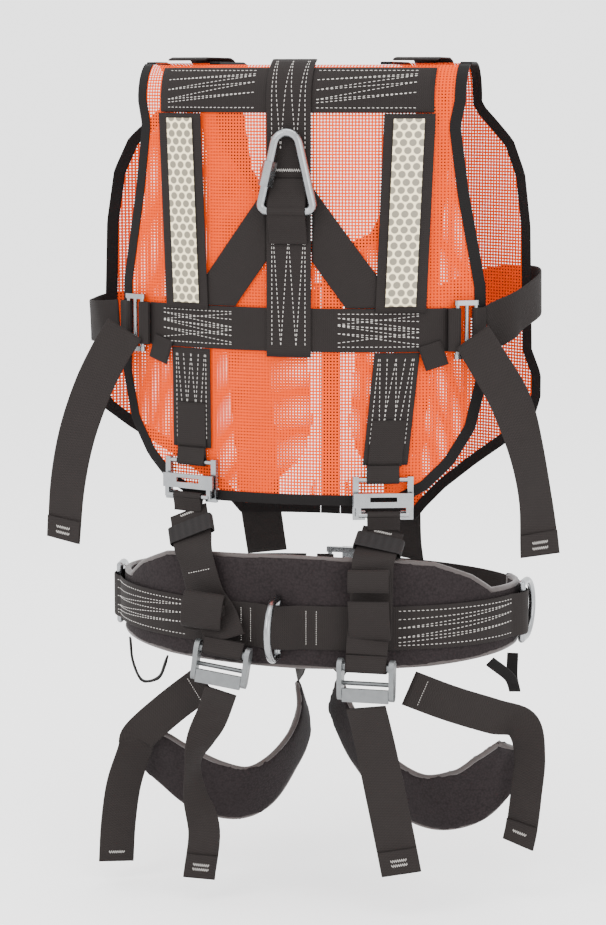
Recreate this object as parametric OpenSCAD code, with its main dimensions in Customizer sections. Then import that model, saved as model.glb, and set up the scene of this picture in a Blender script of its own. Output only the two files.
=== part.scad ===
// Full-body fall-arrest harness with a mesh work vest and a padded work-positioning belt.
// Millimetres. +Z up, -Y is the wearer's back, +X is the wearer's right seen from behind.
// The origin is on the top of the shoulders, in the middle.

/* [Webbing] */
// Width of the load-bearing webbing
web_w = 45; // [38:1:50]
// Thickness of one layer of webbing
web_t = 1.8; // [1.4:0.1:2.4]
// Width of the adjustment tails and leg straps
tail_w = 42; // [34:1:46]

/* [Vest] */
// Widest half width of the vest, over its binding
vest_half_w = 197; // [165:1:235]
// Depth of the back from the middle of the shoulders
vest_depth = 100; // [84:1:120]
// Height of the back panel from the shoulder to the hem
back_len = 456; // [400:1:480]
// Height of the front panels from the shoulder to the hem
front_len = 500; // [420:1:505]
// Radius of the bend over the shoulder
shoulder_r = 38; // [30:1:46]
// Half width of the neck opening at the top
neck_half = 85; // [72:1:100]
// Width of the edge binding
binding_w = 11; // [8:1:14]
// Thickness of the mesh fabric
mesh_t = 1.2; // [0.8:0.1:1.6]

/* [Back straps] */
// Distance from the shoulder to the middle of the chest strap
chest_drop = 273; // [230:1:310]
// Half spread of the shoulder straps where they meet the chest strap
strap_x = 113; // [100:1:125]
// Length of each reflective tape
tape_len = 200; // [160:1:200]
// Distance of the side adjusters in from the vest's widest half width
adjuster_inset = 19; // [14:1:30]

/* [Belt] */
// Distance from the shoulder to the middle of the belt
torso = 577; // [545:1:690]
// Half width of the belt, over its pad
belt_half_w = 219; // [190:1:262]
// Half depth of the belt, over its pad
belt_half_d = 138; // [122:1:165]
// Width of the belt webbing
belt_w = 46; // [40:1:50]
// Thickness of the lumbar pad
pad_t = 12; // [8:1:16]

/* [Rings] */
// Wire diameter of the quick link
link_d = 9; // [7:0.5:10]
// Wire diameter of the belt rings
ring_d = 7.5; // [6:0.5:8.5]
// Inside height of the belt rings
ring_in = 53; // [51:1:64]

/* [Legs] */
// Width of the leg pads
leg_pad_w = 68; // [56:1:80]
// Thickness of the leg pads
leg_pad_t = 9; // [6:1:12]

/* [Hidden] */
$fn = 48;
gap = 0.8;
seam = 0.8;
run = 0.1;
belt_x = 10;
belt_z = -torso;
chest_z = -chest_drop;
bow = 330;
sides = [-1, 1];
pin_r = 2.2;
zip_half = 11;
buckle_bar_r = 2.5;
roller_r = 4;
// where each mid buckle and each lower buckle hangs: left, right
mid_at = [[-109, -435], [97, -447]];
low_at = [[-61, -151, belt_z - 39], [92, -151, belt_z - 48]];
low_tilt = [8, 0];

// ---- curves and sheets -------------------------------------------------------------------

function unit(v) = v / norm(v);
function at(v, i) = v[max(0, min(len(v) - 1, i))];
function curve(a, b, c, d, t) =
    0.5 * (2 * b + (c - a) * t + (2 * a - 5 * b + 4 * c - d) * t * t
           + (3 * b - a - 3 * c + d) * t * t * t);
// n + 1 points of a smooth curve through the points v
function along(v, n) = [
    for (i = [0:n])
        let (u = i / n * (len(v) - 1), k = min(floor(u), len(v) - 2))
            curve(at(v, k - 1), at(v, k), at(v, k + 1), at(v, k + 2), u - k)
];
function steps(a, b, n) = [for (i = [0:n]) a + (b - a) * i / n];

// Closed sheet between two grids of points with the same rows and columns
module slab(top, bottom) {
    rows = len(top);
    cols = len(top[0]);
    m = rows * cols;
    out = cross(top[0][1] - top[0][0], top[1][0] - top[0][0]) * (top[0][0] - bottom[0][0]);
    function id(g, i, j) = g * m + i * cols + j;
    function tris(a, b, c, d) = [[a, b, c], [a, c, d]];
    skin = [
        for (i = [0:rows - 2]) for (j = [0:cols - 2]) each concat(
            tris(id(0, i, j), id(0, i + 1, j), id(0, i + 1, j + 1), id(0, i, j + 1)),
            tris(id(1, i, j), id(1, i, j + 1), id(1, i + 1, j + 1), id(1, i + 1, j)))
    ];
    rims = [
        for (i = [0:rows - 2]) each concat(
            tris(id(0, i, 0), id(1, i, 0), id(1, i + 1, 0), id(0, i + 1, 0)),
            tris(id(0, i, cols - 1), id(0, i + 1, cols - 1), id(1, i + 1, cols - 1), id(1, i, cols - 1)))
    ];
    ends = [
        for (j = [0:cols - 2]) each concat(
            tris(id(0, 0, j), id(0, 0, j + 1), id(1, 0, j + 1), id(1, 0, j)),
            tris(id(0, rows - 1, j), id(1, rows - 1, j), id(1, rows - 1, j + 1), id(0, rows - 1, j + 1)))
    ];
    faces = concat(skin, rims, ends);
    polyhedron(
        [for (g = [top, bottom]) for (row = g) for (p = row) p],
        out > 0 ? faces : [for (f = faces) [f[0], f[2], f[1]]]);
}

// Strip of webbing along pts, its width along the directions in wide
module ribbon(pts, wide, w, t, n = 10) {
    mid = along(pts, n);
    dir = along(wide, n);
    rows = [
        for (i = [0:n])
            let (go = unit(at(mid, i + 1) - at(mid, i - 1)), s = unit(dir[i] - go * (dir[i] * go)))
                [mid[i], s, cross(go, s)]
    ];
    slab([for (r = rows) [for (j = [-0.5, 0.5]) r[0] + r[1] * w * j + r[2] * t / 2]],
         [for (r = rows) [for (j = [-0.5, 0.5]) r[0] + r[1] * w * j - r[2] * t / 2]]);
}

// ---- the vest's surface ------------------------------------------------------------------

function depth(x) = vest_depth - x * x / (2 * bow);
// Point of the vest at x: k <= 0 is the back at height k, 0 to 1 crosses the shoulder,
// and k >= 1 is the front at height 1 - k. d is the distance out of the surface.
function vest_point(x, k, d) =
    let (z = k <= 0 ? k : 1 - k, s = k < 0.5 ? -1 : 1, flat = depth(x) - shoulder_r,
         a = acos(max(0, 1 + z / shoulder_r)))
    k > 0 && k < 1 ? [x, (2 * k - 1) * flat, d]
    : z > -shoulder_r
        ? [x, s * (flat + (shoulder_r + d) * sin(a)), (shoulder_r + d) * cos(a) - shoulder_r]
    : [x, s * (depth(x) + d), z];
function level(n) = mesh_t + seam + 0.5 + n * (web_t + gap);

// Half width of the vest at height z, over the binding
function half_w(z) = vest_half_w - lookup(-z / back_len, [
    [0, 22], [0.084, 22], [0.14, 27], [0.285, 19], [0.5, 2],
    [0.72, 0], [0.83, 11], [0.91, 32], [0.965, 57], [1, 87]
]);
// The front panels run on past the back's side edges below the armholes
function front_half_w(z) = vest_half_w - lookup(-z / front_len, [
    [0, 22], [0.084, 22], [0.12, 4], [0.16, -15], [0.23, -29], [0.34, -36], [0.6, -39], [0.65, -50],
    [0.7, -50], [0.75, -42], [0.8, -15], [0.864, 27], [0.924, 63], [0.97, 85], [1, 97]
]);
// Half width of the neck opening at height z on the front
function neck_at(z) = zip_half + gap + (neck_half - zip_half) * lookup(-z, [
    [0, 1], [8, 1], [38, 1.25], [60, 1.38], [90, 1.25], [133, 0.86], [150, 0.7], [185, 0.45], [200, 0]
]);

module vest_grid(rows, d0, d1) {
    slab([for (r = rows) [for (x = r[1]) vest_point(x, r[0], d1)]],
         [for (r = rows) [for (x = r[1]) vest_point(x, r[0], d0)]]);
}

// Heights of the rings of points round the shoulder bend, from its top to its foot
function bend(i) = -shoulder_r * (1 - cos(18 * i));
bends = [for (i = [1:5]) bend(i)];
over = [-0.3, 0, 0.25, 0.5, 0.75, 1];

// Strip on the vest with its middle at x at each height: rows are [k, x]
module down_strap(rows, w, n, t = web_t) {
    vest_grid([for (r = rows) [r[0], steps(r[1] - w / 2, r[1] + w / 2, 2)]], level(n), level(n) + t);
}

// The outline pts of [x, k] moved by w to its side s
function inset(pts, w, s) = [
    for (i = [0:len(pts) - 1])
        let (go = unit(at(pts, i + 1) - at(pts, i - 1)), side = [go[1], -go[0]] * s)
            pts[i] + side * w
];

module edge_strip(pts, s) {
    rows = [for (i = [0:len(pts) - 1]) [pts[i], inset(pts, binding_w, s)[i]]];
    slab([for (r = rows) [for (p = r) vest_point(p[0], p[1], mesh_t + seam)]],
         [for (r = rows) [for (p = r) vest_point(p[0], p[1], -seam)]]);
}

// Mesh between two outlines of [x, k] with as many points each
module mesh_panel(a, b, n) {
    function grid(d) = [
        for (i = [0:len(a) - 1])
            [for (j = [0:n]) let (p = a[i] + (b[i] - a[i]) * j / n) vest_point(p[0], p[1], d)]
    ];
    color("orangered") slab(grid(mesh_t), grid(0));
}

module on_back(x, z, d) {
    translate([x, -depth(x) - d, z]) rotate([0, 0, atan(x / bow)]) children();
}

// ---- vest --------------------------------------------------------------------------------

side_shares = [0.14, 0.285, 0.4, 0.5, 0.62, 0.72, 0.83, 0.91, 0.965, 1];
back_edge = [for (z = concat(bends, -side_shares * back_len)) [half_w(z), z]];
back_hem = [[60, -back_len], [20, -back_len]];
function flip(pts) = [for (i = [len(pts) - 1:-1:0]) [-pts[i][0], pts[i][1]]];

module back_panel() {
    q = [for (i = [0:len(back_edge) - 1]) inset(concat(back_edge, back_hem), binding_w + gap, 1)[i]];
    mesh_panel([for (p = q) [-p[0], p[1]]], q, 18);
}

module back_binding() {
    right = concat(back_edge, back_hem);
    color("#2b2b2b") edge_strip(concat(right, flip(right)), 1);
}

front_shares = [0.12, 0.16, 0.23, 0.34, 0.47, 0.6, 0.65, 0.7, 0.75, 0.8, 0.864, 0.924, 0.97, 1];
front_edge = concat([for (k = over) [half_w(0), k]],
    [for (z = concat(bends, -front_shares * front_len)) [front_half_w(z), 1 - z]]);
front_hem = [[50, 1 + front_len], [zip_half + gap, 1 + front_len]];
zip_top = 199;
neck_edge = concat([for (k = over) [neck_at(0), k]],
    [for (z = concat(-bends, [70, 100, 133, 150, 185, zip_top])) [neck_at(-z), 1 + z]]);

module front_panel(s) {
    edge = binding_w + gap;
    foot = front_len - edge;
    outer = [for (i = [0:len(front_edge) - 1]) inset(concat(front_edge, front_hem), edge, -1)[i]];
    inner = concat(inset(neck_edge, edge, 1), [for (u = steps(0.12, 1, 7))
        [zip_half + gap, 1 + zip_top + edge + (foot - zip_top - edge) * u]]);
    mirror([s < 0 ? 1 : 0, 0, 0]) mesh_panel(inner, outer, 7);
}

module front_binding(s) {
    color("#2b2b2b") mirror([s < 0 ? 1 : 0, 0, 0]) {
        edge_strip(concat(front_edge, front_hem), -1);
        edge_strip(neck_edge, 1);
    }
}

module zip_tape() {
    color("#303030") vest_grid(
        [for (z = steps(201, front_len, 6)) [1 + z, steps(-zip_half, zip_half, 2)]], 0, mesh_t);
}

module zip_slider() {
    y = vest_depth + mesh_t + gap;
    color("silver") translate([0, y, -224]) {
        translate([-4, 0, -6]) cube([8, 3.4, 12]);
        difference() {
            translate([-3, 3.8, -26]) cube([6, 1.6, 26]);
            translate([0, 7, -22]) rotate([90, 0, 0]) cylinder(d = 3, h = 6);
        }
        translate([0, 3.2, -2]) rotate([-90, 0, 0]) cylinder(d = 3, h = 1);
    }
}

// ---- back straps -------------------------------------------------------------------------

yoke_foot = 50;

module yoke_strap() {
    color("#3d3939") vest_grid(
        [for (z = [for (i = [2:5]) bend(i), -yoke_foot]) [z, steps(-145, 145, 14)]],
        level(0), level(0) + web_t);
}

module spine_strap() {
    color("#3d3939") down_strap(
        [for (z = concat(bends, steps(-60, chest_z - 28, 3))) [z, 0]], web_w + 2, 1);
}

dorsal_z = -150;
dorsal_d = level(2) + web_t + run + link_d / 2;

// Webbing loop round the quick link's lower bar
module dorsal_loop() {
    ring_r = link_d / 2 + run;
    color("#3d3939") on_back(0, dorsal_z, dorsal_d) rotate([90, 0, 90])
        linear_extrude(40, center = true) difference() {
            union() {
                circle(r = ring_r + web_t);
                translate([ring_r + web_t - 2 * web_t, -32]) square([2 * web_t, 32]);
            }
            circle(r = ring_r);
        }
}

// Strip on the vest along pts of [x, z], w wide
module vest_strap(pts, w, n) {
    rows = [
        for (i = [0:len(pts) - 1])
            let (go = unit(at(pts, i + 1) - at(pts, i - 1)), side = [-go[1], go[0]])
                [pts[i] - side * w / 2, pts[i] + side * w / 2]
    ];
    slab([for (r = rows) [for (p = r) vest_point(p[0], p[1], level(n) + web_t)]],
         [for (r = rows) [for (p = r) vest_point(p[0], p[1], level(n))]]);
}

module cross_strap(s) {
    top = [30, -172];
    foot = [77, chest_z + web_w * 0.798];
    color("#3d3939") vest_strap(
        [for (i = [0:5]) let (p = top + (foot - top) * i / 5) [s * p[0], p[1]]], web_w, 0);
}

adjuster_out = mesh_t + seam + gap + 4.2;
adjuster_x = vest_half_w - adjuster_inset;

// Frame of an adjuster in the vest's side: local +X runs away from the spine
module on_adjuster(s) {
    on_back(s * adjuster_x, chest_z, adjuster_out) children();
}

// Webbing end folded round a bar along Z, with its two layers going off along -X
module bar_loop(r, len, w, t = web_t) {
    linear_extrude(w, center = true) difference() {
        union() {
            circle(r = r + run + t);
            translate([-len, -t]) square([len, 2 * t]);
        }
        circle(r = r + run);
    }
}

module chest_strap() {
    reach = adjuster_x - 24;
    color("#3d3939") {
        vest_grid(
            [for (z = [chest_z - web_w / 2, chest_z, chest_z + web_w / 2]) [z, steps(-reach, reach, 14)]],
            level(0), level(0) + web_t);
        for (s = sides) on_adjuster(s) mirror([s < 0 ? 1 : 0, 0, 0]) translate([-10, 0, 0])
            bar_loop(pin_r, 9, web_w);
    }
}

module shoulder_strap(s) {
    zs = concat([-yoke_foot - 1], steps(-80, chest_z + web_w / 2 - 4, 4));
    color("#3d3939") down_strap(
        [for (z = zs) [z, s * lookup(-z, [[50, strap_x + 9], [-chest_z, strap_x]])]], 50, 1);
}

module front_strap(s) {
    crown = concat([bend(1), for (i = [1:5]) over[i]], [for (z = bends) 1 - z]);
    top = [for (k = crown) [k, s * (strap_x + 9)]];
    down = [for (z = [100, 190, 300, 380, 430])
        [1 + z, s * lookup(z, [[38, strap_x + 9], [100, strap_x], [430, 84]])]];
    y = depth(84);
    color("#3d3939") {
        vest_grid([for (r = concat(top, down)) [r[0], steps(r[1] - web_w / 2, r[1] + web_w / 2, 2)]],
            level(1), level(1) + web_t);
        ribbon([[s * 84, y + level(1) + 0.9, -430.4], [s * 82, y + level(1) + 4, -480],
                [s * 80, y + 24, -524], [s * 80, -pad_y(80) - 1.8, belt_z + belt_w / 2 + 2]],
            [for (i = [0:3]) [1, -s * 84 / bow, 0]], web_w, web_t, 6);
    }
}

module reflective_tape(s) {
    color("#e8e2d0") down_strap(
        [for (z = steps(-56, -56 - tape_len * 0.96, 4))
            [z, s * lookup(-z, [[50, strap_x + 9], [-chest_z, strap_x]])]],
        30, 2, 0.4);
}

module back_strap(i) {
    m = mid_at[i];
    top = chest_z - web_w / 2 - gap;
    bar_z = m[1] + bar_up;
    color("#3d3939") {
        down_strap([for (z = steps(top, bar_z + 17, 3))
            [z, lookup(-z, [[-top, sides[i] * 110], [-bar_z, m[0]]])]], web_w, 0);
        at_mid(i) translate([0, 0, bar_up]) rotate([0, 90, 0]) bar_loop(buckle_bar_r, 15, 34);
    }
}

// ---- side adjusters and their straps -----------------------------------------------------

module side_adjuster(s) {
    h = web_w + 6;
    color("gainsboro") on_adjuster(s) {
        for (x = [-10, 0, 10]) translate([x, 0, 0]) cylinder(r = pin_r, h = h, center = true);
        for (u = sides) translate([0, 0, u * (h / 2 + 2.4)]) linear_extrude(5, center = true)
            hull() for (x = [-10, 10]) translate([x, 0]) circle(r = 3.4);
    }
}

module side_strap(s) {
    z1 = chest_z + (s > 0 ? 33 : -4);
    a = atan(s * adjuster_x / bow);
    p0 = [s * adjuster_x + sin(a) * adjuster_out, -depth(adjuster_x) - cos(a) * adjuster_out, chest_z];
    u = [cos(a), sin(a), 0] * s;
    start = p0 + u * 20.5;
    up = [0, 0, 1];
    tip = [s * 0.18, 0, 1];
    y1 = vest_depth + 14 + (s > 0 ? plate_out : 0);
    // Out of the armhole, round the front panel's side edge and on to the buckle
    round_side = [[29, -0.38, (chest_z + z1) / 2], [49, 0.02, z1], [33, 0.48, z1 + 4], [-17, 0.8, z1 - 2]];
    body = [for (p = round_side) [s * (vest_half_w + p[0]), p[1] * vest_depth, p[2]]];
    ends = [[s * 110, vest_depth, chest_z + 4], [s * 60, y1 + s * 1.5, chest_z], [s * 34, y1, chest_z]];
    color("#3d3939") {
        on_adjuster(s) mirror([s < 0 ? 0 : 1, 0, 0]) translate([-10, 0, 0]) bar_loop(pin_r, 9, web_w);
        ribbon(concat([start], body, ends), [up, tip, up, up, up, up, up, up], web_w, web_t, 21);
        translate([s < 0 ? -bar_up : -plate_bar, y1, chest_z]) mirror([s < 0 ? 0 : 1, 0, 0])
            bar_loop(buckle_bar_r, 14, web_w);
    }
}

module side_tail(s) {
    a = adjuster_x + 8;
    y = -depth(adjuster_x) - 20;
    left = [
        [-a, y, chest_z - 6], [-a - 16, y - 8, chest_z - 34], [-a - 33, y - 12, chest_z - 70],
        [-a - 49, y - 18, chest_z - 119], [-a - 60, y - 18, chest_z - 173], [-a - 67, y - 12, chest_z - 234]
    ];
    right = [
        [a, y, chest_z - 6], [a + 19, y - 8, chest_z - 33], [a + 41, y - 8, chest_z - 70],
        [a + 57, y - 6, chest_z - 118], [a + 67, y, chest_z - 172], [a + 72, y + 4, chest_z - 232]
    ];
    wl = [
        [-0.6, 0, 0.8], [-0.75, 0, 0.66], [-0.88, 0, 0.45], [-0.95, 0.1, 0.25], [-1, 0.2, 0.15], [-1, 0.3, 0.1]
    ];
    wr = [[0.6, 0, 0.8], [0.72, 0, 0.7], [0.8, 0.2, 0.5], [0.7, 0.6, 0.3], [0.7, 0.7, 0.1], [0.9, 0.4, 0]];
    color("#46403f") ribbon(s < 0 ? left : right, s < 0 ? wl : wr, tail_w, web_t, 14);
}

module keeper_strap(s) {
    x0 = strap_x + web_w / 2 - 0.5;
    x1 = adjuster_x - 21;
    color("#3d3939") vest_strap([for (i = [0:3]) let (x = x0 + (x1 - x0) * i / 3)
        [s * x, chest_z - 30 + 7 * i / 3]], 26, 1);
}

// ---- quick-connect buckles ---------------------------------------------------------------

arm_x = 28.5;
bar_up = 19;
plate_out = 7.2;
mid_out = mesh_t + seam + gap + 3;
plate_bar = -17;

module rod(a, b, r) {
    v = b - a;
    translate(a) rotate([0, acos(v[2] / norm(v)), atan2(v[1], v[0])]) cylinder(r = r, h = norm(v));
}

// Receiving frame: the webbing's bar is at the top, the two hooks at the bottom
module buckle_frame() {
    rod([-arm_x, 0, bar_up], [arm_x, 0, bar_up], buckle_bar_r);
    for (s = sides) {
        translate([s * arm_x - 3, -2.5, -22.5]) cube([6, 5, 45]);
        translate([s * (arm_x - 4) - 6, -2.5, -22.5]) cube([12, 5, 9]);
    }
}

// Plate that passes through the frame and rests across it
module buckle_plate() {
    translate([0, -plate_out, 0]) {
        difference() {
            translate([-31, -1.4, -9]) cube([62, 2.8, 15]);
            translate([-14, -2, -3]) cube([28, 4, 5]);
        }
        rod([-26, 0, plate_bar], [26, 0, plate_bar], buckle_bar_r);
        for (s = sides) translate([s * 26 - 2.5, -1.4, plate_bar - 2]) cube([5, 2.8, 12]);
    }
}

module at_mid(i) {
    m = mid_at[i];
    on_back(m[0], m[1], mid_out) children();
}
module at_chest() {
    translate([0, vest_depth + 14, chest_z]) rotate([0, 0, 180]) rotate([0, 90, 0]) children();
}
module at_belt() {
    translate([belt_x, belt_half_d + gap + web_t / 2, belt_z])
        rotate([0, 0, 180]) rotate([0, 90, 0]) children();
}

module mid_buckle(i) { color("gainsboro") at_mid(i) buckle_frame(); }
module mid_plate(i) { color("gainsboro") at_mid(i) buckle_plate(); }
module chest_buckle_frame() { color("gainsboro") at_chest() buckle_frame(); }
module chest_buckle_plate() { color("gainsboro") at_chest() buckle_plate(); }
module belt_buckle_frame() { color("gainsboro") at_belt() buckle_frame(); }
module belt_buckle_plate() { color("gainsboro") at_belt() buckle_plate(); }

// ---- straps from the vest to the lower buckles -------------------------------------------

function pad_y(x) = -belt_half_d * sqrt(1 - pow((x - belt_x) / belt_half_w, 2));

// Where each lower strap runs, from its plate's bar over the pad to its buckle's roller
function lower_path(i) =
    let (m = mid_at[i], b = low_at[i], a = atan(m[0] / bow), t = low_tilt[i],
         x = [for (f = [0.69, 0.4, 0.06]) b[0] + (m[0] - b[0]) * f],
         start = [m[0] + sin(a) * plate_out, -depth(m[0]) - mid_out - cos(a) * plate_out, m[1] + plate_bar - 15.5],
         crest = [x[0], pad_y(x[0]) - 9, belt_z + 69])
        [start, (start + crest) / 2, crest, [x[1], pad_y(x[1]) - 8.5, belt_z + 24], [x[2], b[1] + 5, b[2] + 41],
         [b[0] + sin(t) * 25, b[1], b[2] + cos(t) * 25]];
function lower_wide(i) =
    let (v = [1, mid_at[i][0] / bow, 0]) [v, v, v, [1, v[1] * 0.7, 0], [1, v[1] * 0.4, 0], [1, 0, -tan(low_tilt[i])]];

module lower_strap(i) {
    color("#3d3939") {
        at_mid(i) translate([0, -plate_out, plate_bar]) rotate([0, 90, 0]) rotate([0, 0, 180])
            bar_loop(buckle_bar_r, 15, 34);
        ribbon(lower_path(i), lower_wide(i), web_w - 2, web_t, 20);
        at_low(i) translate([0, 0, 12]) rotate([0, 90, 0]) bar_loop(roller_r, 12, web_w - 2);
    }
}

keeper_at = 7;

module elastic_keeper(i) {
    path = along(lower_path(i), 40);
    p = path[keeper_at];
    v = unit(path[keeper_at - 3] - path[keeper_at + 3]);
    w = along(lower_wide(i), 40)[keeper_at];
    x = unit(w - v * (w * v));
    y = cross(v, x);
    inner_t = web_t + 4;
    color("#1f1f1f") multmatrix([[x[0], y[0], v[0], p[0]], [x[1], y[1], v[1], p[1]], [x[2], y[2], v[2], p[2]]])
        linear_extrude(20, center = true) difference() {
            square([web_w + 6, inner_t + 3], center = true);
            square([web_w + 3, inner_t], center = true);
        }
}

// ---- lower buckles -----------------------------------------------------------------------

cheek_x = 27;
lever_z = -15;

module at_low(i) {
    translate(low_at[i]) rotate([0, low_tilt[i], 0]) children();
}

module lower_buckle(i) {
    color("silver") at_low(i) {
        for (s = sides) translate([s * cheek_x, 0, 0]) rotate([90, 0, 90])
            difference() {
                linear_extrude(5, center = true) hull() {
                    translate([0, 12]) circle(r = 9);
                    translate([-1, lever_z]) circle(r = 7);
                }
                translate([-2, lever_z, -5]) cylinder(r = 2.6, h = 10);
            }
        rod([-cheek_x, 0, 12], [cheek_x, 0, 12], roller_r);
        rod([-cheek_x, 5, -6], [cheek_x, 5, -6], 2.4);
    }
}

module buckle_lever(i) {
    color("lightgray") at_low(i) translate([0, -2, lever_z]) {
        rod([-cheek_x - 2.5, 0, 0], [cheek_x + 2.5, 0, 0], 2.5);
        translate([-cheek_x + 3, -5.5, -8]) cube([2 * cheek_x - 6, 3.5, 14]);
        for (s = sides) translate([s * (cheek_x - 6) - 2.5, -3, -2.5]) cube([5, 3, 5]);
    }
}

module lower_tail(i) {
    b = low_at[i];
    left = [[b[0], b[1] - 2, b[2] - 29], [-76, -134, belt_z - 101], [-89, -131, belt_z - 127],
        [-98, -130, belt_z - 156], [-96, -130, belt_z - 188], [-86, -130, belt_z - 226], [-92, -130, belt_z - 278]];
    right = [[b[0], b[1] - 2, b[2] - 29], [97, -140, belt_z - 110], [108, -136, belt_z - 165],
        [118, -134, belt_z - 215], [126, -132, belt_z - 257]];
    wl = [[1, 0, 0], [1, 0.1, 0], [0.8, 0.6, 0], [0.25, 0.97, 0], [0.5, 0.85, 0], [0.9, 0.4, 0], [0.95, 0.3, 0]];
    wr = [[1, 0, 0.1], [1, 0, 0.1], [1, 0.1, 0.1], [1, 0.1, 0.1], [1, 0.1, 0.1]];
    color("#46403f") ribbon(i == 0 ? left : right, i == 0 ? wl : wr, i == 0 ? tail_w - 8 : tail_w, web_t, 14);
}

// ---- belt --------------------------------------------------------------------------------

function belt_point(a, z, d) = [belt_x + (belt_half_w + d) * cos(a), (belt_half_d + d) * sin(a), z];
// where each ring sits round the belt: 0 is right, -90 is the back
rear_a = -93.4;
side_a = [-175, -5];
ring_at = [[rear_a, 6], [side_a[0], 9], [side_a[1], 9]];
ring_lift = ring_d + 0.4;
function lift(a) = ring_lift * max([for (r = ring_at) abs(a - r[0]) < r[1] ? cos(90 * (a - r[0]) / r[1]) : 0]);

module belt_grid(rows) {
    slab([for (r = rows) [for (z = [r[1], r[2]]) belt_point(r[0], z, r[4])]],
         [for (r = rows) [for (z = [r[1], r[2]]) belt_point(r[0], z, r[3])]]);
}

belt_steps = [for (a = [-202:8:22]) a];

module lumbar_pad() {
    top = [[0, 74], [30, 71], [42, 66], [56, 50], [66, 33], [112, 29]];
    foot = [[0, 45], [40, 43], [80, 36], [112, 34]];
    color("#2b2828") belt_grid([for (a = belt_steps) let (u = abs(a + 90))
        [a, belt_z - lookup(u, foot), belt_z + lookup(u, top), -pad_t, 0]]);
}

function sorted(v) = len(v) < 2 ? v : let (p = v[0])
    concat(sorted([for (a = v) if (a < p) a]), [p], sorted([for (a = v) if (a > p) a]));

module belt_webbing() {
    y = belt_half_d + gap + web_t / 2;
    humps = [for (r = ring_at) for (u = [-1, -0.5, 0, 0.5, 1]) r[0] + u * r[1]];
    plain = [for (a = [-258:8:78]) if (min([for (r = ring_at) abs(a - r[0]) - r[1]]) > 0) a];
    angles = sorted(concat(humps, plain));
    color("#3d3939") {
        belt_grid([for (a = angles) [a, belt_z - belt_w / 2, belt_z + belt_w / 2, gap + lift(a), gap + web_t + lift(a)]]);
        translate([belt_x - bar_up, y, belt_z]) bar_loop(buckle_bar_r, 14, web_w);
        translate([belt_x - plate_bar, y + plate_out, belt_z]) mirror([1, 0, 0]) bar_loop(buckle_bar_r, 14, web_w);
    }
}

// Ring with its straight bar on the Z axis, its bow out to +X
module d_ring() {
    r = ring_d / 2;
    h = ring_in / 2 + r;
    arm = 50 - h - r;
    rod([0, 0, -h], [0, 0, h], r);
    for (s = sides) {
        translate([0, 0, s * h]) sphere(r = r);
        rod([0, 0, s * h], [arm, 0, s * h], r);
    }
    translate([arm, 0, 0]) rotate([90, 0, 0]) rotate([0, 0, -90])
        rotate_extrude(angle = 180) translate([h, 0]) circle(r = r);
}

ring_out = 0.3 + ring_d / 2;
module rear_d_ring() {
    color("silver") translate(belt_point(rear_a, belt_z, ring_out)) rotate([0, 0, -90]) d_ring();
}
module side_d_ring(i) {
    color("silver") translate(belt_point(side_a[i], belt_z, ring_out)) rotate([0, 0, i == 0 ? 96 : 84]) d_ring();
}

module gear_loops() {
    left = [belt_point(-133, belt_z - 52, -6), [-150, -78, belt_z - 76], [-172, -64, belt_z - 84],
        [-190, -40, belt_z - 70], belt_point(-162, belt_z - 44, -6)];
    right = [belt_point(-24, belt_z - 46, -6), [224, -44, belt_z - 64], [228, -30, belt_z - 82],
        [223, -16, belt_z - 70], belt_point(-4, belt_z - 46, -6)];
    color("#2b2828") {
        ribbon(left, [for (p = left) [0.35, -0.9, 0.2]], 12, 2.4, 12);
        ribbon(right, [for (p = right) [0.9, 0.2, 0]], 12, 2.4, 10);
    }
}

// ---- leg loops ---------------------------------------------------------------------------

pad_path = [
    [[-30, 84, -128], [-22, 58, -154], [-27, 22, -178], [-44, -12, -202], [-66, -38, -210],
     [-95, -56, -201], [-122, -66, -184], [-152, -68, -164], [-170, -66, -152]],
    [[8, 84, -120], [28, 56, -150], [54, 24, -173], [94, 2, -203], [136, -18, -213],
     [178, -30, -199], [208, -30, -171], [228, -26, -142]]
];
pad_wide = [
    [[0, -0.7, 0.7], [0, -0.65, 0.75], [0.1, -0.5, 0.86], [0.1, -0.35, 0.93], [0.1, -0.35, 0.93],
     [0, -0.3, 0.95], [-0.1, -0.3, 0.95], [-0.2, -0.3, 0.93], [-0.3, -0.3, 0.9]],
    [[0.3, -0.6, 0.75], [0.3, -0.6, 0.75], [0.2, -0.5, 0.85], [0.1, -0.35, 0.93], [0, -0.3, 0.95],
     [-0.1, -0.3, 0.95], [-0.35, -0.5, 0.7], [-0.3, -0.8, 0.3]]
];
riser_path = [
    [[-32, belt_half_d - 8, -34], [-34, 116, -70], [-33, 94, -112]],
    [[18, belt_half_d - 8, -34], [14, 116, -68], [9, 95, -104]]
];
riser_wide = [
    [[1, 0, 0], [0.8, -0.4, 0.3], [0.3, -0.6, 0.65]],
    [[1, 0, 0], [0.8, 0.4, -0.3], [0.1, 0.6, -0.75]]
];
thigh_path = [
    [[-94, -92, -74], [-134, -90, -106], [-168, -90, -138]],
    [[128, -106, -66], [168, -86, -85], [210, -64, -102], [238, -46, -114]]
];
leg_tail_path = [
    [[-172, -93, -152], [-186, -90, -192], [-194, -86, -238], [-198, -82, -282]],
    [[247, -48, -146], [244, -50, -186], [240, -50, -222], [236, -50, -243]]
];

function on_belt(pts) = [for (p = pts) [p[0], p[1], p[2] + belt_z]];

module leg_pad(i) {
    color("#211f1f") ribbon(on_belt(pad_path[i]), pad_wide[i], leg_pad_w, leg_pad_t, 16);
}

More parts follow.
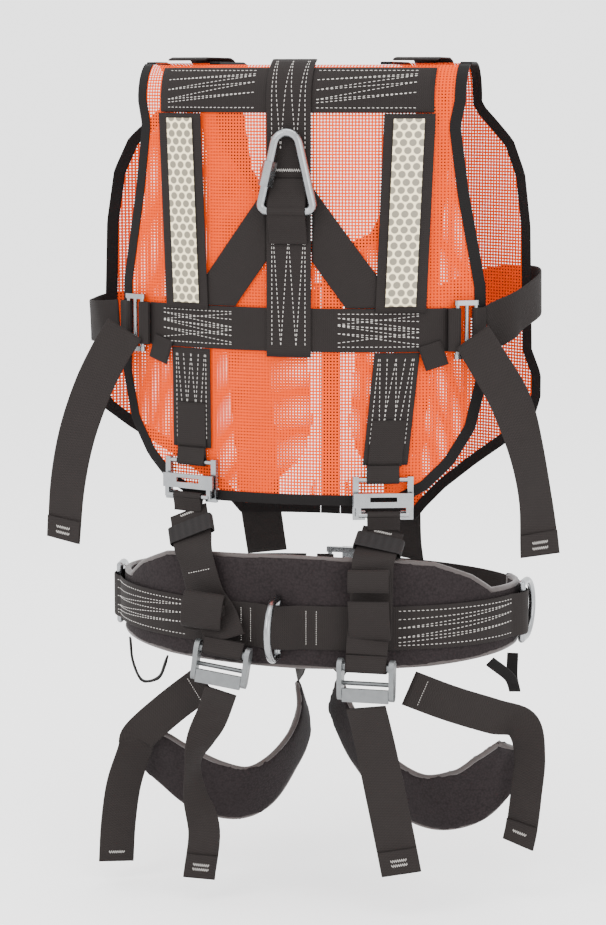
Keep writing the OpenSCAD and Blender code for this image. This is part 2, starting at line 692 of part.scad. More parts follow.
module leg_strap(i) {
    s = sides[i];
    color("#3d3939") {
        ribbon(on_belt(riser_path[i]), riser_wide[i], web_w - 6, web_t, 8);
        ribbon(on_belt(thigh_path[i]), [for (p = thigh_path[i]) [-0.5 * s, -0.2, -0.8]], tail_w, web_t, 8);
        ribbon(on_belt(leg_tail_path[i]), [for (p = leg_tail_path[i]) [0.9, -0.4 * s, 0]], tail_w - 6, web_t, 8);
    }
}

// ---- quick link --------------------------------------------------------------------------

link_half = 27;
link_bow = 13;
link_bend = 6.5;
link_top = 67;
link_r = link_d / 2;
link_flat = link_half - link_bend;
link_rise = norm([link_flat, link_top - link_bend]);
// Lean of the legs, which run as a tangent from the lower bends to the bow
leg_lean = atan2(link_top - link_bend, -link_flat) - acos((link_bend - link_bow) / link_rise);
leg_side = [cos(leg_lean), 0, sin(leg_lean)];
leg_foot = [link_flat, 0, link_bend] + leg_side * link_bend;
leg_head = [0, 0, link_top] + leg_side * link_bow;

module at_link() {
    on_back(0, dorsal_z, dorsal_d) children();
}

// Points of the bar's middle and the way out of the loop at each
link_right = [for (a = steps(-90, leg_lean, 6)) [[link_flat, 0, link_bend], link_bend, a]];
link_over = [for (a = steps(leg_lean, 180 - leg_lean, 12)) [[0, 0, link_top], link_bow, a]];
link_left = [for (i = [6:-1:0]) [[-link_flat, 0, link_bend], link_bend, 180 - link_right[i][2]]];

module quick_link() {
    turns = concat(link_right, link_over, link_left);
    n = len(turns);
    m = 20;
    points = [
        for (t = turns) let (out = [cos(t[2]), 0, sin(t[2])], p = t[0] + out * t[1])
            for (k = [0:m - 1]) p + (out * cos(360 * k / m) + [0, sin(360 * k / m), 0]) * link_r
    ];
    function id(i, k) = (i % n) * m + k % m;
    color("gainsboro") at_link() polyhedron(points, [
        for (i = [0:n - 1]) for (k = [0:m - 1]) each [
            [id(i, k), id(i + 1, k + 1), id(i, k + 1)], [id(i, k), id(i + 1, k), id(i + 1, k + 1)]]
    ]);
}

module link_nut() {
    v = unit(leg_head - leg_foot);
    color("silver") at_link() mirror([1, 0, 0]) translate(leg_foot + v * 18) rotate([0, atan2(v[0], v[2]), 0])
        difference() {
            cylinder(d = link_d + 6.5, h = 26, $fn = 6);
            translate([0, 0, -1]) cylinder(r = link_r + run, h = 28);
        }
}

// ---- drawing -----------------------------------------------------------------------------

back_panel();
front_panel(-1);  // front_panel_left
front_panel(1);  // front_panel_right
back_binding();
front_binding(-1);  // front_binding_left
front_binding(1);  // front_binding_right
zip_tape();
zip_slider();
yoke_strap();
spine_strap();
dorsal_loop();
cross_strap(-1);  // cross_strap_left
cross_strap(1);  // cross_strap_right
chest_strap();
shoulder_strap(-1);  // shoulder_strap_left
shoulder_strap(1);  // shoulder_strap_right
front_strap(-1);  // front_strap_left
front_strap(1);  // front_strap_right
reflective_tape(-1);  // reflective_tape_left
reflective_tape(1);  // reflective_tape_right
back_strap(0);  // back_strap_left
back_strap(1);  // back_strap_right
side_adjuster(-1);  // side_adjuster_left
side_adjuster(1);  // side_adjuster_right
side_strap(-1);  // side_strap_left
side_strap(1);  // side_strap_right
side_tail(-1);  // side_tail_left
side_tail(1);  // side_tail_right
keeper_strap(-1);  // keeper_strap_left
keeper_strap(1);  // keeper_strap_right
chest_buckle_frame();
chest_buckle_plate();
mid_buckle(0);  // mid_buckle_left
mid_buckle(1);  // mid_buckle_right
mid_plate(0);  // mid_plate_left
mid_plate(1);  // mid_plate_right
lower_strap(0);  // lower_strap_left
lower_strap(1);  // lower_strap_right
elastic_keeper(0);  // elastic_keeper_left
elastic_keeper(1);  // elastic_keeper_right
lower_buckle(0);  // lower_buckle_left
lower_buckle(1);  // lower_buckle_right
buckle_lever(0);  // buckle_lever_left
buckle_lever(1);  // buckle_lever_right
lower_tail(0);  // lower_tail_left
lower_tail(1);  // lower_tail_right
lumbar_pad();
belt_webbing();
belt_buckle_frame();
belt_buckle_plate();
rear_d_ring();
side_d_ring(0);  // side_d_ring_left
side_d_ring(1);  // side_d_ring_right
leg_pad(0);  // leg_pad_left
leg_pad(1);  // leg_pad_right
leg_strap(0);  // leg_strap_left
leg_strap(1);  // leg_strap_right
quick_link();
link_nut();
gear_loops();
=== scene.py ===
"""Full-body safety harness sewn to a mesh vest: its finished surfaces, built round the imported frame."""

import bisect
import math

import bmesh
import bpy
from mathutils import Matrix, Vector


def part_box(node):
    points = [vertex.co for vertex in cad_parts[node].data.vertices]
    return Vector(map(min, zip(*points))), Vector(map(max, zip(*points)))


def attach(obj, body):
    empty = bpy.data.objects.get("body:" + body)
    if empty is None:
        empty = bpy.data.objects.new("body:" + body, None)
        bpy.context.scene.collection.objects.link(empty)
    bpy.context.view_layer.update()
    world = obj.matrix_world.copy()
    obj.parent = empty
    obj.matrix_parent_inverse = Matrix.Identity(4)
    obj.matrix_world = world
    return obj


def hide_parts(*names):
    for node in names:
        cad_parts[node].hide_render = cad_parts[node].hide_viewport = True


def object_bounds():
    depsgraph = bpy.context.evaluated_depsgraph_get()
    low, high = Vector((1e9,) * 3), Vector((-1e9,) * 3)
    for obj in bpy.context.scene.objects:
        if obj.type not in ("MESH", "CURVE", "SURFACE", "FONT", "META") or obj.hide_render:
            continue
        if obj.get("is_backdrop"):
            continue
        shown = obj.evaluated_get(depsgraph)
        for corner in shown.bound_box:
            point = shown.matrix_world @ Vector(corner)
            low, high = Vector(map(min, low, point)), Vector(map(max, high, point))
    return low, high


bl_info = {
    "name": "Safety harness with mesh vest",
    "version": (1, 0, 0),
    "blender": (4, 5, 0),
    "location": "3D View > Sidebar > Harness",
    "description": "Builds the webbing, mesh, pads, buckles and rings of a full-body safety harness",
    "category": "Object",
}

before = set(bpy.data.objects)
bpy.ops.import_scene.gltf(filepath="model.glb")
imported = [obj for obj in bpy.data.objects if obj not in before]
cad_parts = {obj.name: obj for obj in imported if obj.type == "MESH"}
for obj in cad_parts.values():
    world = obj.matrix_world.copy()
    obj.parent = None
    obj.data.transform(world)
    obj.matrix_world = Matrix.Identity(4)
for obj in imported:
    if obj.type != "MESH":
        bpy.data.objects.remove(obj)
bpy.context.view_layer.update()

# ---- sizes that the pieces share, in millimetres ------------------------------------------

MM = 0.001
X, Y, Z = Vector((1, 0, 0)), Vector((0, 1, 0)), Vector((0, 0, 1))
SIDES = (-1, 1)
SIDE_NAME = {-1: "left", 1: "right"}

GAP = 0.8
RUN = 0.1
MESH_T = 1.2
SEAM = 0.8
BOW = 330.0
SHOULDER_R = 38.0
ZIP_HALF = 11.0
BAR_R = 2.5
ADJUSTER_BAR_R = 2.2
ADJUSTER_OUT = MESH_T + SEAM + GAP + 4.2
WEB_HALF = 0.9
ROLLER_R = 4.0
BELT_X = 10.0


def box_mm(node):
    """Lowest and highest corner of a frame node, in millimetres."""
    low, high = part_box(node)
    return low / MM, high / MM


VEST_HALF = round(box_mm("back_binding")[1].x)
BACK_LEN = -round(box_mm("back_binding")[0].z)
FRONT_LEN = -round(box_mm("front_binding_left")[0].z)
VEST_DEPTH = round(box_mm("zip_tape")[1].y - MESH_T)
CHEST_Z = round(sum(v.z for v in box_mm("chest_strap")) / 2)
BELT_Z = round(sum(v.z for v in box_mm("belt_webbing")) / 2)
BELT_HALF_W = round((box_mm("lumbar_pad")[1].x - box_mm("lumbar_pad")[0].x) / 2)
BELT_HALF_D = -round(box_mm("lumbar_pad")[0].y)
STRAP_X = 113.0
ADJUSTER_X = 178.0
NECK_HALF = 85.0


def size(label, mm, text):
    """A size setting in millimetres."""
    return bpy.props.FloatProperty(name=label, description=text, default=mm)


class HarnessSizes(bpy.types.PropertyGroup):
    """Sizes that a user would change, in millimetres."""

    web_w: size("Webbing width", 45.0, "Width of the main webbing")
    tail_w: size("Tail width", 42.0, "Width of the loose strap ends")
    binding_w: size("Binding width", 11.0, "Width of the vest's edge tape")
    mesh_pitch: size("Mesh pitch", 3.3, "Spacing of the holes in the mesh")
    mesh_hole: size("Mesh hole", 0.46, "Share of the pitch that is hole")
    stitch: size("Stitch length", 3.3, "Length of one stitch")
    stitch_gap: size("Stitch gap", 1.5, "Gap between two stitches")
    thread_r: size("Thread radius", 0.42, "Half the thickness of the thread")
    piping_r: size("Piping radius", 3.4, "Half the thickness of the lumbar pad's edge")


def linear(code):
    """An sRGB hex colour as linear light, which is what the shaders take."""
    parts = [int(code[i : i + 2], 16) / 255 for i in (1, 3, 5)]
    return tuple(c / 12.92 if c <= 0.04045 else ((c + 0.055) / 1.055) ** 2.4 for c in parts)


def colour(label, code, text):
    """A colour setting with its default given as sRGB hex."""
    return bpy.props.FloatVectorProperty(
        name=label, description=text, subtype="COLOR", size=3, min=0.0, max=1.0, default=linear(code)
    )


class HarnessColours(bpy.types.PropertyGroup):
    """Colours that a user would change."""

    webbing: colour("Webbing", "#1B1716", "Polyester webbing of the straps")
    mesh: colour("Mesh", "#D24000", "Yarn of the vest's mesh")
    binding: colour("Binding", "#0F0D0D", "Edge tape of the vest")
    thread: colour("Thread", "#A5A19C", "Sewing thread")
    film: colour("Reflective film", "#E8D9B2", "Ridges of the reflective tape")
    film_cell: colour("Reflective cells", "#6A6352", "Cells of the reflective tape")
    pad: colour("Pad", "#1E191A", "Knitted cover of the pads")
    piping: colour("Piping", "#2B2220", "Bound edge of the pads")
    steel: colour("Plated steel", "#8A8C8E", "Links, rings and adjusters")
    cast: colour("Cast alloy", "#6C6E6F", "Lower buckles")


def sizes():
    return bpy.context.scene.harness_sizes


def colours():
    return bpy.context.scene.harness_colours


# ---- curves and the vest's surface --------------------------------------------------------


def at(points, i):
    """Point i, carried on in a straight line past either end."""
    last = len(points) - 1
    if i < 0:
        return points[0] * 2 - points[1]
    if i > last:
        return points[last] * 2 - points[last - 1]
    return points[i]


def along(points, n):
    """n + 1 points of a smooth curve through the given ones."""
    found = []
    for i in range(n + 1):
        u = i / n * (len(points) - 1)
        k = min(int(u), len(points) - 2)
        t = u - k
        a, b, c, d = (at(points, k + j) for j in (-1, 0, 1, 2))
        square, cube = a * 2 - b * 5 + c * 4 - d, b * 3 - a - c * 3 + d
        found.append((b * 2 + (c - a) * t + square * t * t + cube * t * t * t) * 0.5)
    return found


def steps(a, b, n):
    return [a + (b - a) * i / n for i in range(n + 1)]


def lookup(x, pairs):
    """Value at x of the straight lines through pairs of (x, value)."""
    if x <= pairs[0][0]:
        return pairs[0][1]
    for (x0, y0), (x1, y1) in zip(pairs, pairs[1:]):
        if x <= x1:
            return y0 + (y1 - y0) * (x - x0) / (x1 - x0)
    return pairs[-1][1]


def depth(x):
    return VEST_DEPTH - x * x / (2 * BOW)


def vest_point(x, k, d):
    """Point of the vest at x, d out of the cloth.
    k <= 0 is the back at height k, 0 to 1 crosses the shoulder, and k >= 1 is the front at height 1 - k."""
    z = k if k <= 0 else 1 - k
    side = -1 if k < 0.5 else 1
    flat = depth(x) - SHOULDER_R
    if 0 < k < 1:
        return Vector((x, (2 * k - 1) * flat, d))
    if z > -SHOULDER_R:
        a = math.acos(1 + z / SHOULDER_R)
        out = SHOULDER_R + d
        return Vector((x, side * (flat + out * math.sin(a)), out * math.cos(a) - SHOULDER_R))
    return Vector((x, side * (depth(x) + d), z))


def vest_place(x, k, d):
    """Point of the vest at x, with the way out of the cloth there."""
    p = vest_point(x, k, d)
    return p, (vest_point(x, k, d + 1) - p).normalized()


def fall(z):
    """Length of cloth from the top of the shoulder down to height z."""
    if z > -SHOULDER_R:
        return SHOULDER_R * math.acos(1 + z / SHOULDER_R)
    return SHOULDER_R * math.pi / 2 - z - SHOULDER_R


def height(s):
    """Height of the cloth at length s down from the top of the shoulder."""
    if s < SHOULDER_R * math.pi / 2:
        return -SHOULDER_R * (1 - math.cos(max(s, 0) / SHOULDER_R))
    return SHOULDER_R * math.pi / 2 - s - SHOULDER_R


def bend(i):
    return -SHOULDER_R * (1 - math.cos(math.radians(18 * i)))


OVER = [-0.3] + steps(0, 1, 8)


def heights(top, bottom, step=7.0):
    """Heights down the cloth at about the same spacing."""
    a, b = fall(top), fall(bottom)
    return [height(s) for s in steps(a, b, max(2, round((b - a) / step)))]


def level(n):
    """How far layer n of the webbing stands out of the mesh."""
    return MESH_T + SEAM + 0.5 + n * (2 * WEB_HALF + GAP)


# How far the panels' side edges stand in from the vest's half width, by share of their length
BACK_SIDE = (
    (0, 22), (0.084, 22), (0.14, 27), (0.285, 19), (0.5, 2),
    (0.72, 0), (0.83, 11), (0.91, 32), (0.965, 57), (1, 87),
)
FRONT_SIDE = (
    (0, 22), (0.084, 22), (0.12, 4), (0.16, -15), (0.23, -29), (0.34, -36), (0.6, -39), (0.65, -50),
    (0.7, -50), (0.75, -42), (0.8, -15), (0.864, 27), (0.924, 63), (0.97, 85), (1, 97),
)
# How far the front panels reach beyond the vest's half width
FLARE = 50.0
# Inner edge of the front panels, as a share of the way to the neck's half width, by depth down the front
NECK = ((0, 1), (8, 1), (38, 1.25), (60, 1.38), (90, 1.25), (133, 0.86), (150, 0.7), (185, 0.45), (200, 0))


def half_w(z):
    return VEST_HALF - lookup(-z / BACK_LEN, BACK_SIDE)


def front_half_w(z):
    return VEST_HALF - lookup(-z / FRONT_LEN, FRONT_SIDE)


def neck_at(z):
    return ZIP_HALF + GAP + (NECK_HALF - ZIP_HALF) * lookup(-z, NECK)


# ---- meshes -------------------------------------------------------------------------------


def make_piece(name, points, faces, material, uvs=None, smooth=True):
    """A mesh object from points in millimetres; uvs has one place per point, in metres."""
    mesh = bpy.data.meshes.new(name)
    mesh.from_pydata([p * MM for p in points], [], faces)
    mesh.update()
    if uvs:
        layer = mesh.uv_layers.new(name="UVMap")
        for loop in mesh.loops:
            layer.data[loop.index].uv = uvs[loop.vertex_index]
    mesh.polygons.foreach_set("use_smooth", [smooth] * len(mesh.polygons))
    mesh.materials.append(material)
    obj = bpy.data.objects.new(name, mesh)
    bpy.context.scene.collection.objects.link(obj)
    return obj


# Places across a strap as shares of its width, with the share of its thickness there
PROFILE = (
    (-0.5, 0.25), (-0.492, 0.7), (-0.47, 0.95), (-0.44, 1.0), (-0.3, 0.94), (-0.15, 1.0),
    (0.0, 0.94), (0.15, 1.0), (0.3, 0.94), (0.44, 1.0), (0.47, 0.95), (0.492, 0.7), (0.5, 0.25),
)


class Band:
    """A flat strap: place(i, u) gives the point of row i at u across it, and the way out of its face."""

    def __init__(self, place, rows, width, thick=1.7):
        self.place = place
        self.rows = rows
        self.width = width
        self.thick = thick
        mids = [place(i, 0.0)[0] for i in range(rows)]
        self.length = [0.0]
        for p, q in zip(mids, mids[1:]):
            self.length.append(self.length[-1] + (q - p).length)

    def at(self, u, v):
        """Point, way out and way along at u across and v along."""
        i = min(max(bisect.bisect(self.length, v) - 1, 0), self.rows - 2)
        t = (v - self.length[i]) / max(self.length[i + 1] - self.length[i], 1e-6)
        (p, n), (q, m) = self.place(i, u), self.place(i + 1, u)
        return p.lerp(q, t), n.lerp(m, t).normalized(), (q - p).normalized()


def solid_parts(band):
    """Points, faces and uvs of a strap's closed mesh, with rounded edges."""
    points, uvs, faces = [], [], []
    m = len(PROFILE)
    for i in range(band.rows):
        ring = []
        for face in (1, -1):
            cols = PROFILE if face > 0 else reversed(PROFILE)
            for share, thick in cols:
                p, n = band.place(i, share * band.width)
                ring.append(p + n * (face * thick * band.thick / 2))
                uvs.append((share * band.width * MM, band.length[i] * MM))
        points += ring
    n = 2 * m
    for i in range(band.rows - 1):
        for j in range(n):
            k = (j + 1) % n
            faces.append((i * n + j, i * n + k, (i + 1) * n + k, (i + 1) * n + j))
    for i in (0, band.rows - 1):
        for j in range(m - 1):
            quad = (i * n + j, i * n + n - 1 - j, i * n + n - 2 - j, i * n + j + 1)
            faces.append(quad if i == 0 else quad[::-1])
    return points, faces, uvs


def merge(parts):
    """Points, faces and uvs of several meshes as one."""
    points, faces, uvs = [], [], []
    for p, f, w in parts:
        faces += [tuple(i + len(points) for i in face) for face in f]
        points += p
        uvs += w
    return points, faces, uvs


def outward(obj):
    """Turns a closed mesh's faces outwards."""
    build = bmesh.new()
    build.from_mesh(obj.data)
    bmesh.ops.recalc_face_normals(build, faces=build.faces)
    build.to_mesh(obj.data)
    build.free()


def web_piece(name, bands, node, finish="webbing", body="harness", slot="webbing"):
    """One object of one or more straps, riding on a body and standing for its frame node."""
    points, faces, uvs = merge([solid_parts(b) for b in bands])
    obj = make_piece(name, points, faces, material(finish), uvs)
    outward(obj)
    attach(obj, body)
    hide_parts(node)


def loose_strap(kind, side, body, node, tail, hem_long, tacks, face=1, others=()):
    """A strap whose loose end is turned back and tacked down, with the sewing started on it."""
    hem = doubled(tail, hem_long, face)
    web_piece(f"{kind}_webbing_{side}", [*others, tail, hem], node, "twill", body)
    sewing = Sewing()
    for v in tacks:
        sewing.tack(hem, -8, 8, v, face)
        sewing.tack(tail, -8, 8, tail.length[-1] - v, -face)
    return sewing


def vest_band(ks, mid, width, out, thick=1.7):
    """Strap down the vest, with its middle at mid(k)."""
    return Band(lambda i, u: vest_place(mid(ks[i]) + u, ks[i], out + WEB_HALF), len(ks), width, thick)


def level_band(xs, z, width, out):
    """Strap across the vest, with its middle at height z."""
    s = fall(z)
    return Band(lambda i, u: vest_place(xs[i], height(s - u), out + WEB_HALF), len(xs), width)


def slant_band(pts, width, out):
    """Strap on the back of the vest along points of (x, z)."""
    pts = [Vector(p) for p in pts]

    def place(i, u):
        go = (at(pts, i + 1) - at(pts, i - 1)).normalized()
        p = pts[i] + Vector((-go.y, go.x)) * u
        return vest_place(p.x, p.y, out + WEB_HALF)

    return Band(place, len(pts), width)


def ribbon(points, wide, width, n, thick=1.7):
    """Strap in the air along points, its width along the directions in wide."""
    mid = along([Vector(p) for p in points], n)
    across = along([Vector(w) for w in wide], n)
    rows = []
    for i in range(n + 1):
        go = (at(mid, i + 1) - at(mid, i - 1)).normalized()
        side = (across[i] - go * across[i].dot(go)).normalized()
        rows.append((mid[i], side, go.cross(side)))
    return Band(lambda i, u: (rows[i][0] + rows[i][1] * u, rows[i][2]), n + 1, width, thick)


def loop_band(place, r, length, width, thick=1.7, spread=1.0):
    """Webbing folded round a bar of radius r on place's Z axis, both layers going off along -X."""
    ring = r + RUN + thick / 2 + 0.05
    arc = [(ring * math.cos(a), ring * math.sin(a)) for a in map(math.radians, range(120, -121, -20))]
    path = [(-length, spread), (-length * 0.7, spread), *arc, (-length * 0.7, -spread), (-length, -spread)]
    path = along([Vector((x, y, 0)) for x, y in path], 40)
    turned = place.to_3x3()

    def put(i, u):
        go = (at(path, i + 1) - at(path, i - 1)).normalized()
        return place @ (path[i] + Z * u), turned @ Vector((-go.y, go.x, 0))

    return Band(put, len(path), width, thick)


def doubled(band, length, face):
    """The last part of a strap's end turned back and sewn down on one of its faces."""
    total, n = band.length[-1], 8

    def place(i, u):
        p, out, _ = band.at(u, total - length * (1 - i / n) - 0.5)
        return p + out * face * (band.thick + 0.25), out

    return Band(place, n + 1, band.width - 0.6, band.thick)


def folded(middle, tall, deep, width, lean=0.0, turns=1.0):
    """Spare webbing folded flat on itself: a tall loop, or a roll if it makes more than one turn."""
    n = int(24 * turns)
    tilt = Matrix.Rotation(math.radians(lean), 3, "Y")

    def place(i, u):
        a = 2 * math.pi * turns * i / n + 0.4
        size = 1.0 if turns <= 1 else 0.35 + 0.65 * i / n
        p = Vector((u, -deep * size * math.cos(a), tall * size * math.sin(a)))
        out = Vector((0, -math.cos(a) / deep, math.sin(a) / tall)).normalized()
        return middle + tilt @ p, tilt @ out

    return Band(place, n if turns <= 1 else n + 1, width)


def shift(x, y, z):
    return Matrix.Translation((x, y, z))


def turn(degrees, axis):
    return Matrix.Rotation(math.radians(degrees), 4, axis)


def on_back(x, z, d):
    """Frame on the back of the vest: X across, Z up, Y into the body."""
    return shift(x, -depth(x) - d, z) @ Matrix.Rotation(math.atan(x / BOW), 4, "Z")


# ---- stitching ----------------------------------------------------------------------------


class Sewing:
    """Thread sewn on straps, gathered into one piece."""

    def __init__(self):
        self.points = []
        self.faces = []

    def stitch(self, p, go, up, length):
        """One stitch: a low bead that dips into the cloth at both ends."""
        r = sizes().thread_r
        side = up.cross(go).normalized()
        base = len(self.points)
        ring = [(math.cos(math.radians(a)), math.sin(math.radians(a))) for a in (0, 60, 120, 180)]
        self.points.append(p - go * (length / 2) - up * 0.2)
        for v in (-0.3, 0.3):
            for c, s in ring:
                self.points.append(p + go * (length * v) + side * (r * c) + up * (r * s * 1.3 - 0.08))
        self.points.append(p + go * (length / 2) - up * 0.2)
        for j in range(3):
            self.faces.append((base, base + 2 + j, base + 1 + j))
            self.faces.append((base + 1 + j, base + 2 + j, base + 6 + j, base + 5 + j))
            self.faces.append((base + 9, base + 5 + j, base + 6 + j))
        self.faces.append((base, base + 1, base + 5, base + 9, base + 8, base + 4))

    def run(self, band, path, face=1, pitch=None):
        """Stitches along a path of (across, along) on a strap's face."""
        step = pitch or sizes().stitch + sizes().stitch_gap
        length = step * 0.68
        for a, b in zip(path, path[1:]):
            a, b = Vector(a), Vector(b)
            total = (b - a).length
            count = max(1, round(total / step))
            for i in range(count):
                mid = a.lerp(b, (i + 0.5) / count)
                tip = a.lerp(b, (i + 0.6) / count)
                p, n, _ = band.at(mid.x, mid.y)
                q = band.at(tip.x, tip.y)[0]
                self.stitch(p + n * (face * band.thick / 2), (q - p).normalized(), n * face, length)

    def box(self, band, u, v0, v1, passes, face=1):
        """Side seams at +-u and a zigzag of several passes between them."""
        for s in SIDES:
            self.run(band, [(s * u, v0), (s * u, v1)], face)
        zig = [(u * (2 * k / passes - 1) * 0.92, v0 if k % 2 == 0 else v1) for k in range(passes + 1)]
        self.run(band, zig, face)

    def tack(self, band, u0, u1, v, face=1, tall=2.6):
        """Bartack across a strap: a close row of short threads."""
        count = max(3, round(abs(u1 - u0) / 1.15))
        for i in range(count + 1):
            u = u0 + (u1 - u0) * i / count
            p, n, go = band.at(u, v + (0.5 if i % 2 else -0.5))
            self.stitch(p + n * (face * band.thick / 2), go, n * face, tall)

    def finish(self, name, body):
        obj = make_piece(name, self.points, self.faces, material("thread"))
        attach(obj, body)
        return obj


# ---- materials ----------------------------------------------------------------------------

MATERIALS = {}


def material(name):
    """The finish of that name, made once."""
    if name not in MATERIALS:
        MATERIALS[name] = FINISHES[name](name)
    return MATERIALS[name]


def add(tree, kind, sockets=(), **settings):
    """One node: settings are its own; sockets are its inputs by name or place, each a value or a socket."""
    node = tree.nodes.new("ShaderNode" + kind)
    for key, value in settings.items():
        setattr(node, key, value)
    for key, value in dict(sockets).items():
        if isinstance(value, bpy.types.NodeSocket):
            tree.links.new(value, node.inputs[key])
        else:
            node.inputs[key].default_value = value
    return node


def start(name, base, roughness, metallic=0.0, **more):
    """A new material with its main shader; more are the shader's sockets, with _ for a space."""
    mat = bpy.data.materials.new(name)
    mat.use_nodes = True
    tree = mat.node_tree
    tree.nodes.clear()
    sockets = {"Base Color": (*base, 1), "Roughness": roughness, "Metallic": metallic}
    sockets.update({key.replace("_", " "): value for key, value in more.items()})
    shader = add(tree, "BsdfPrincipled", sockets)
    add(tree, "OutputMaterial", {"Surface": shader.outputs[0]})
    return mat, tree, shader


def maths(tree, operation, *values):
    return add(tree, "Math", dict(enumerate(values)), operation=operation).outputs[0]


def shade(tree, height, dark, light):
    """Colour between two as height goes from 0 to 1."""
    mix = add(tree, "Mix", {0: height, 6: (*dark, 1), 7: (*light, 1)}, data_type="RGBA")
    return mix.outputs[2]


def scaled(rgb, k):
    return tuple(min(1.0, c * k) for c in rgb)


def tint(tree, shader, base, height, dark, light):
    """Colour of the shader: from dark to light times base as height goes from 0 to 1."""
    mixed = shade(tree, height, scaled(base, dark), scaled(base, light))
    tree.links.new(mixed, shader.inputs["Base Color"])


def blend(tree, one, share, other, rest):
    """Two heights added, each times its own share."""
    return maths(tree, "ADD", maths(tree, "MULTIPLY", one, share), maths(tree, "MULTIPLY", other, rest))


def own_place(tree):
    return add(tree, "TexCoord").outputs["Object"]


def bump(tree, shader, height, mm, strength=1.0):
    node = add(tree, "Bump", {"Strength": strength, "Distance": mm * MM, "Height": height})
    tree.links.new(node.outputs[0], shader.inputs["Normal"])


def noise(tree, vector, size_mm, detail=2.0):
    sockets = {"Vector": vector, "Scale": 1 / (size_mm * MM), "Detail": detail}
    return add(tree, "TexNoise", sockets).outputs["Fac"]


def weave(tree, warp_mm, weft_mm, lean=0.0):
    """Height from 0 to 1 of a weave on the piece's own map; lean turns its ribs into a twill."""
    place = add(tree, "UVMap", uv_map="UVMap").outputs[0]
    parts = add(tree, "SeparateXYZ", {0: place})
    u = maths(tree, "MULTIPLY", parts.outputs[0], 2 * math.pi / (warp_mm * MM))
    v = maths(tree, "MULTIPLY", parts.outputs[1], 2 * math.pi / (weft_mm * MM))
    v = maths(tree, "ADD", v, maths(tree, "MULTIPLY", u, lean))
    warp = maths(tree, "SINE", u)
    weft = maths(tree, "SINE", v)
    cross = maths(tree, "MULTIPLY", warp, weft)
    ribs = maths(tree, "MULTIPLY", maths(tree, "ADD", maths(tree, "MULTIPLY", weft, 0.6), cross), 0.31)
    return maths(tree, "ADD", ribs, 0.5), place


def webbing_finish(name, base=None, lean=0.0, warp=2.6, weft=2.2):
    """Polyester webbing, woven and heat-set: matt, ribbed, a little hairy at a glancing angle.
    The ribs are drawn about twice as coarse as they are, so that they show."""
    base = base or colours().webbing
    mat, tree, shader = start(name, base, 0.78, Specular_IOR_Level=0.14)
    height, place = weave(tree, warp, weft, lean)
    blotch = noise(tree, place, 28, 3.0)
    mixed = blend(tree, height, 0.75, blotch, 0.3)
    # Colour follows the weave's height: its grooves are painted dark as painted shade and its ribs lighter; the
    # blotches are the webbing's own uneven tone. The twill and elastic use this too.
    tint(tree, shader, base, mixed, 0.55, 1.35)
    bump(tree, shader, height, 0.35, 0.8)
    return mat


def twill_finish(name):
    """Softer webbing of the loose ends, woven as a twill whose ribs slant."""
    return webbing_finish(name, scaled(colours().webbing, 1.12), 0.8, 3.2, 2.9)


def tape_finish(name):
    """Polyester binding tape: flat, dark and finely ribbed across."""
    base = colours().binding
    mat, tree, shader = start(name, base, 0.8, Specular_IOR_Level=0.14)
    height, _ = weave(tree, 40.0, 2.4)
    # Colour follows the ribs' height: the grooves between them are painted dark as painted shade.
    tint(tree, shader, base, height, 0.7, 1.25)
    bump(tree, shader, height, 0.25, 0.7)
    return mat


def mesh_finish(name):
    """Fluorescent polyester yarn, knitted and resin-set: bright, waxy, and it passes a little light."""
    base = colours().mesh
    mat, tree, shader = start(name, base, 0.75, Specular_IOR_Level=0.06)
    place = own_place(tree)
    grain = noise(tree, place, 1.4, 1.0)
    cloud = noise(tree, place, 60, 2.0)
    mixed = blend(tree, grain, 0.6, cloud, 0.4)
    # Colour partly follows the yarn's grain: paler where the grain stands up and darker in its dips, which is
    # painted shade; the cloud is the yarn's own uneven tone.
    tint(tree, shader, base, mixed, 0.72, 1.18)
    bump(tree, shader, grain, 0.3, 0.6)
    return mat


def film_finish(name):
    """Glass-bead reflective film, embossed with a net of round cells: ivory, half glossy."""
    ridge, cell = colours().film, colours().film_cell
    mat, tree, shader = start(name, ridge, 0.38, Coat_Weight=0.3, Coat_Roughness=0.25)
    place = add(tree, "UVMap", uv_map="UVMap").outputs[0]
    pitch, row = 9.2, 8.1
    near = None
    for half in (0.0, 0.5):
        sockets = {"Vector": place, "Scale": (1 / (pitch * MM), 0.5 / (row * MM), 1), "Location": (half, half, 0)}
        moved = add(tree, "Mapping", sockets)
        part = add(tree, "VectorMath", {0: moved.outputs[0]}, operation="FRACTION").outputs[0]
        off = add(tree, "VectorMath", {0: part, 1: (0.5, 0.5, 0.0)}, operation="SUBTRACT").outputs[0]
        size = add(tree, "VectorMath", {0: off, 1: (pitch, 2 * row, 0.0)}, operation="MULTIPLY").outputs[0]
        far = add(tree, "VectorMath", {0: size}, operation="LENGTH").outputs["Value"]
        near = far if near is None else maths(tree, "MINIMUM", near, far)
    ramp = add(tree, "MapRange", {"Value": near, "From Min": 3.3, "From Max": 4.1}).outputs[0]
    grain = maths(tree, "SUBTRACT", noise(tree, place, 0.9, 1.0), 0.5)
    mixed = maths(tree, "ADD", ramp, maths(tree, "MULTIPLY", grain, 0.25))
    tree.links.new(shade(tree, mixed, cell, ridge), shader.inputs["Base Color"])
    bump(tree, shader, ramp, 0.3, 0.6)
    return mat


def thread_finish(name):
    """Bonded polyester thread: pale, slightly shiny, twisted."""
    base = colours().thread
    mat, tree, shader = start(name, base, 0.45, Sheen_Weight=0.2)
    place = own_place(tree)
    grain = noise(tree, place, 0.8, 1.0)
    tint(tree, shader, base, grain, 0.75, 1.2)
    return mat


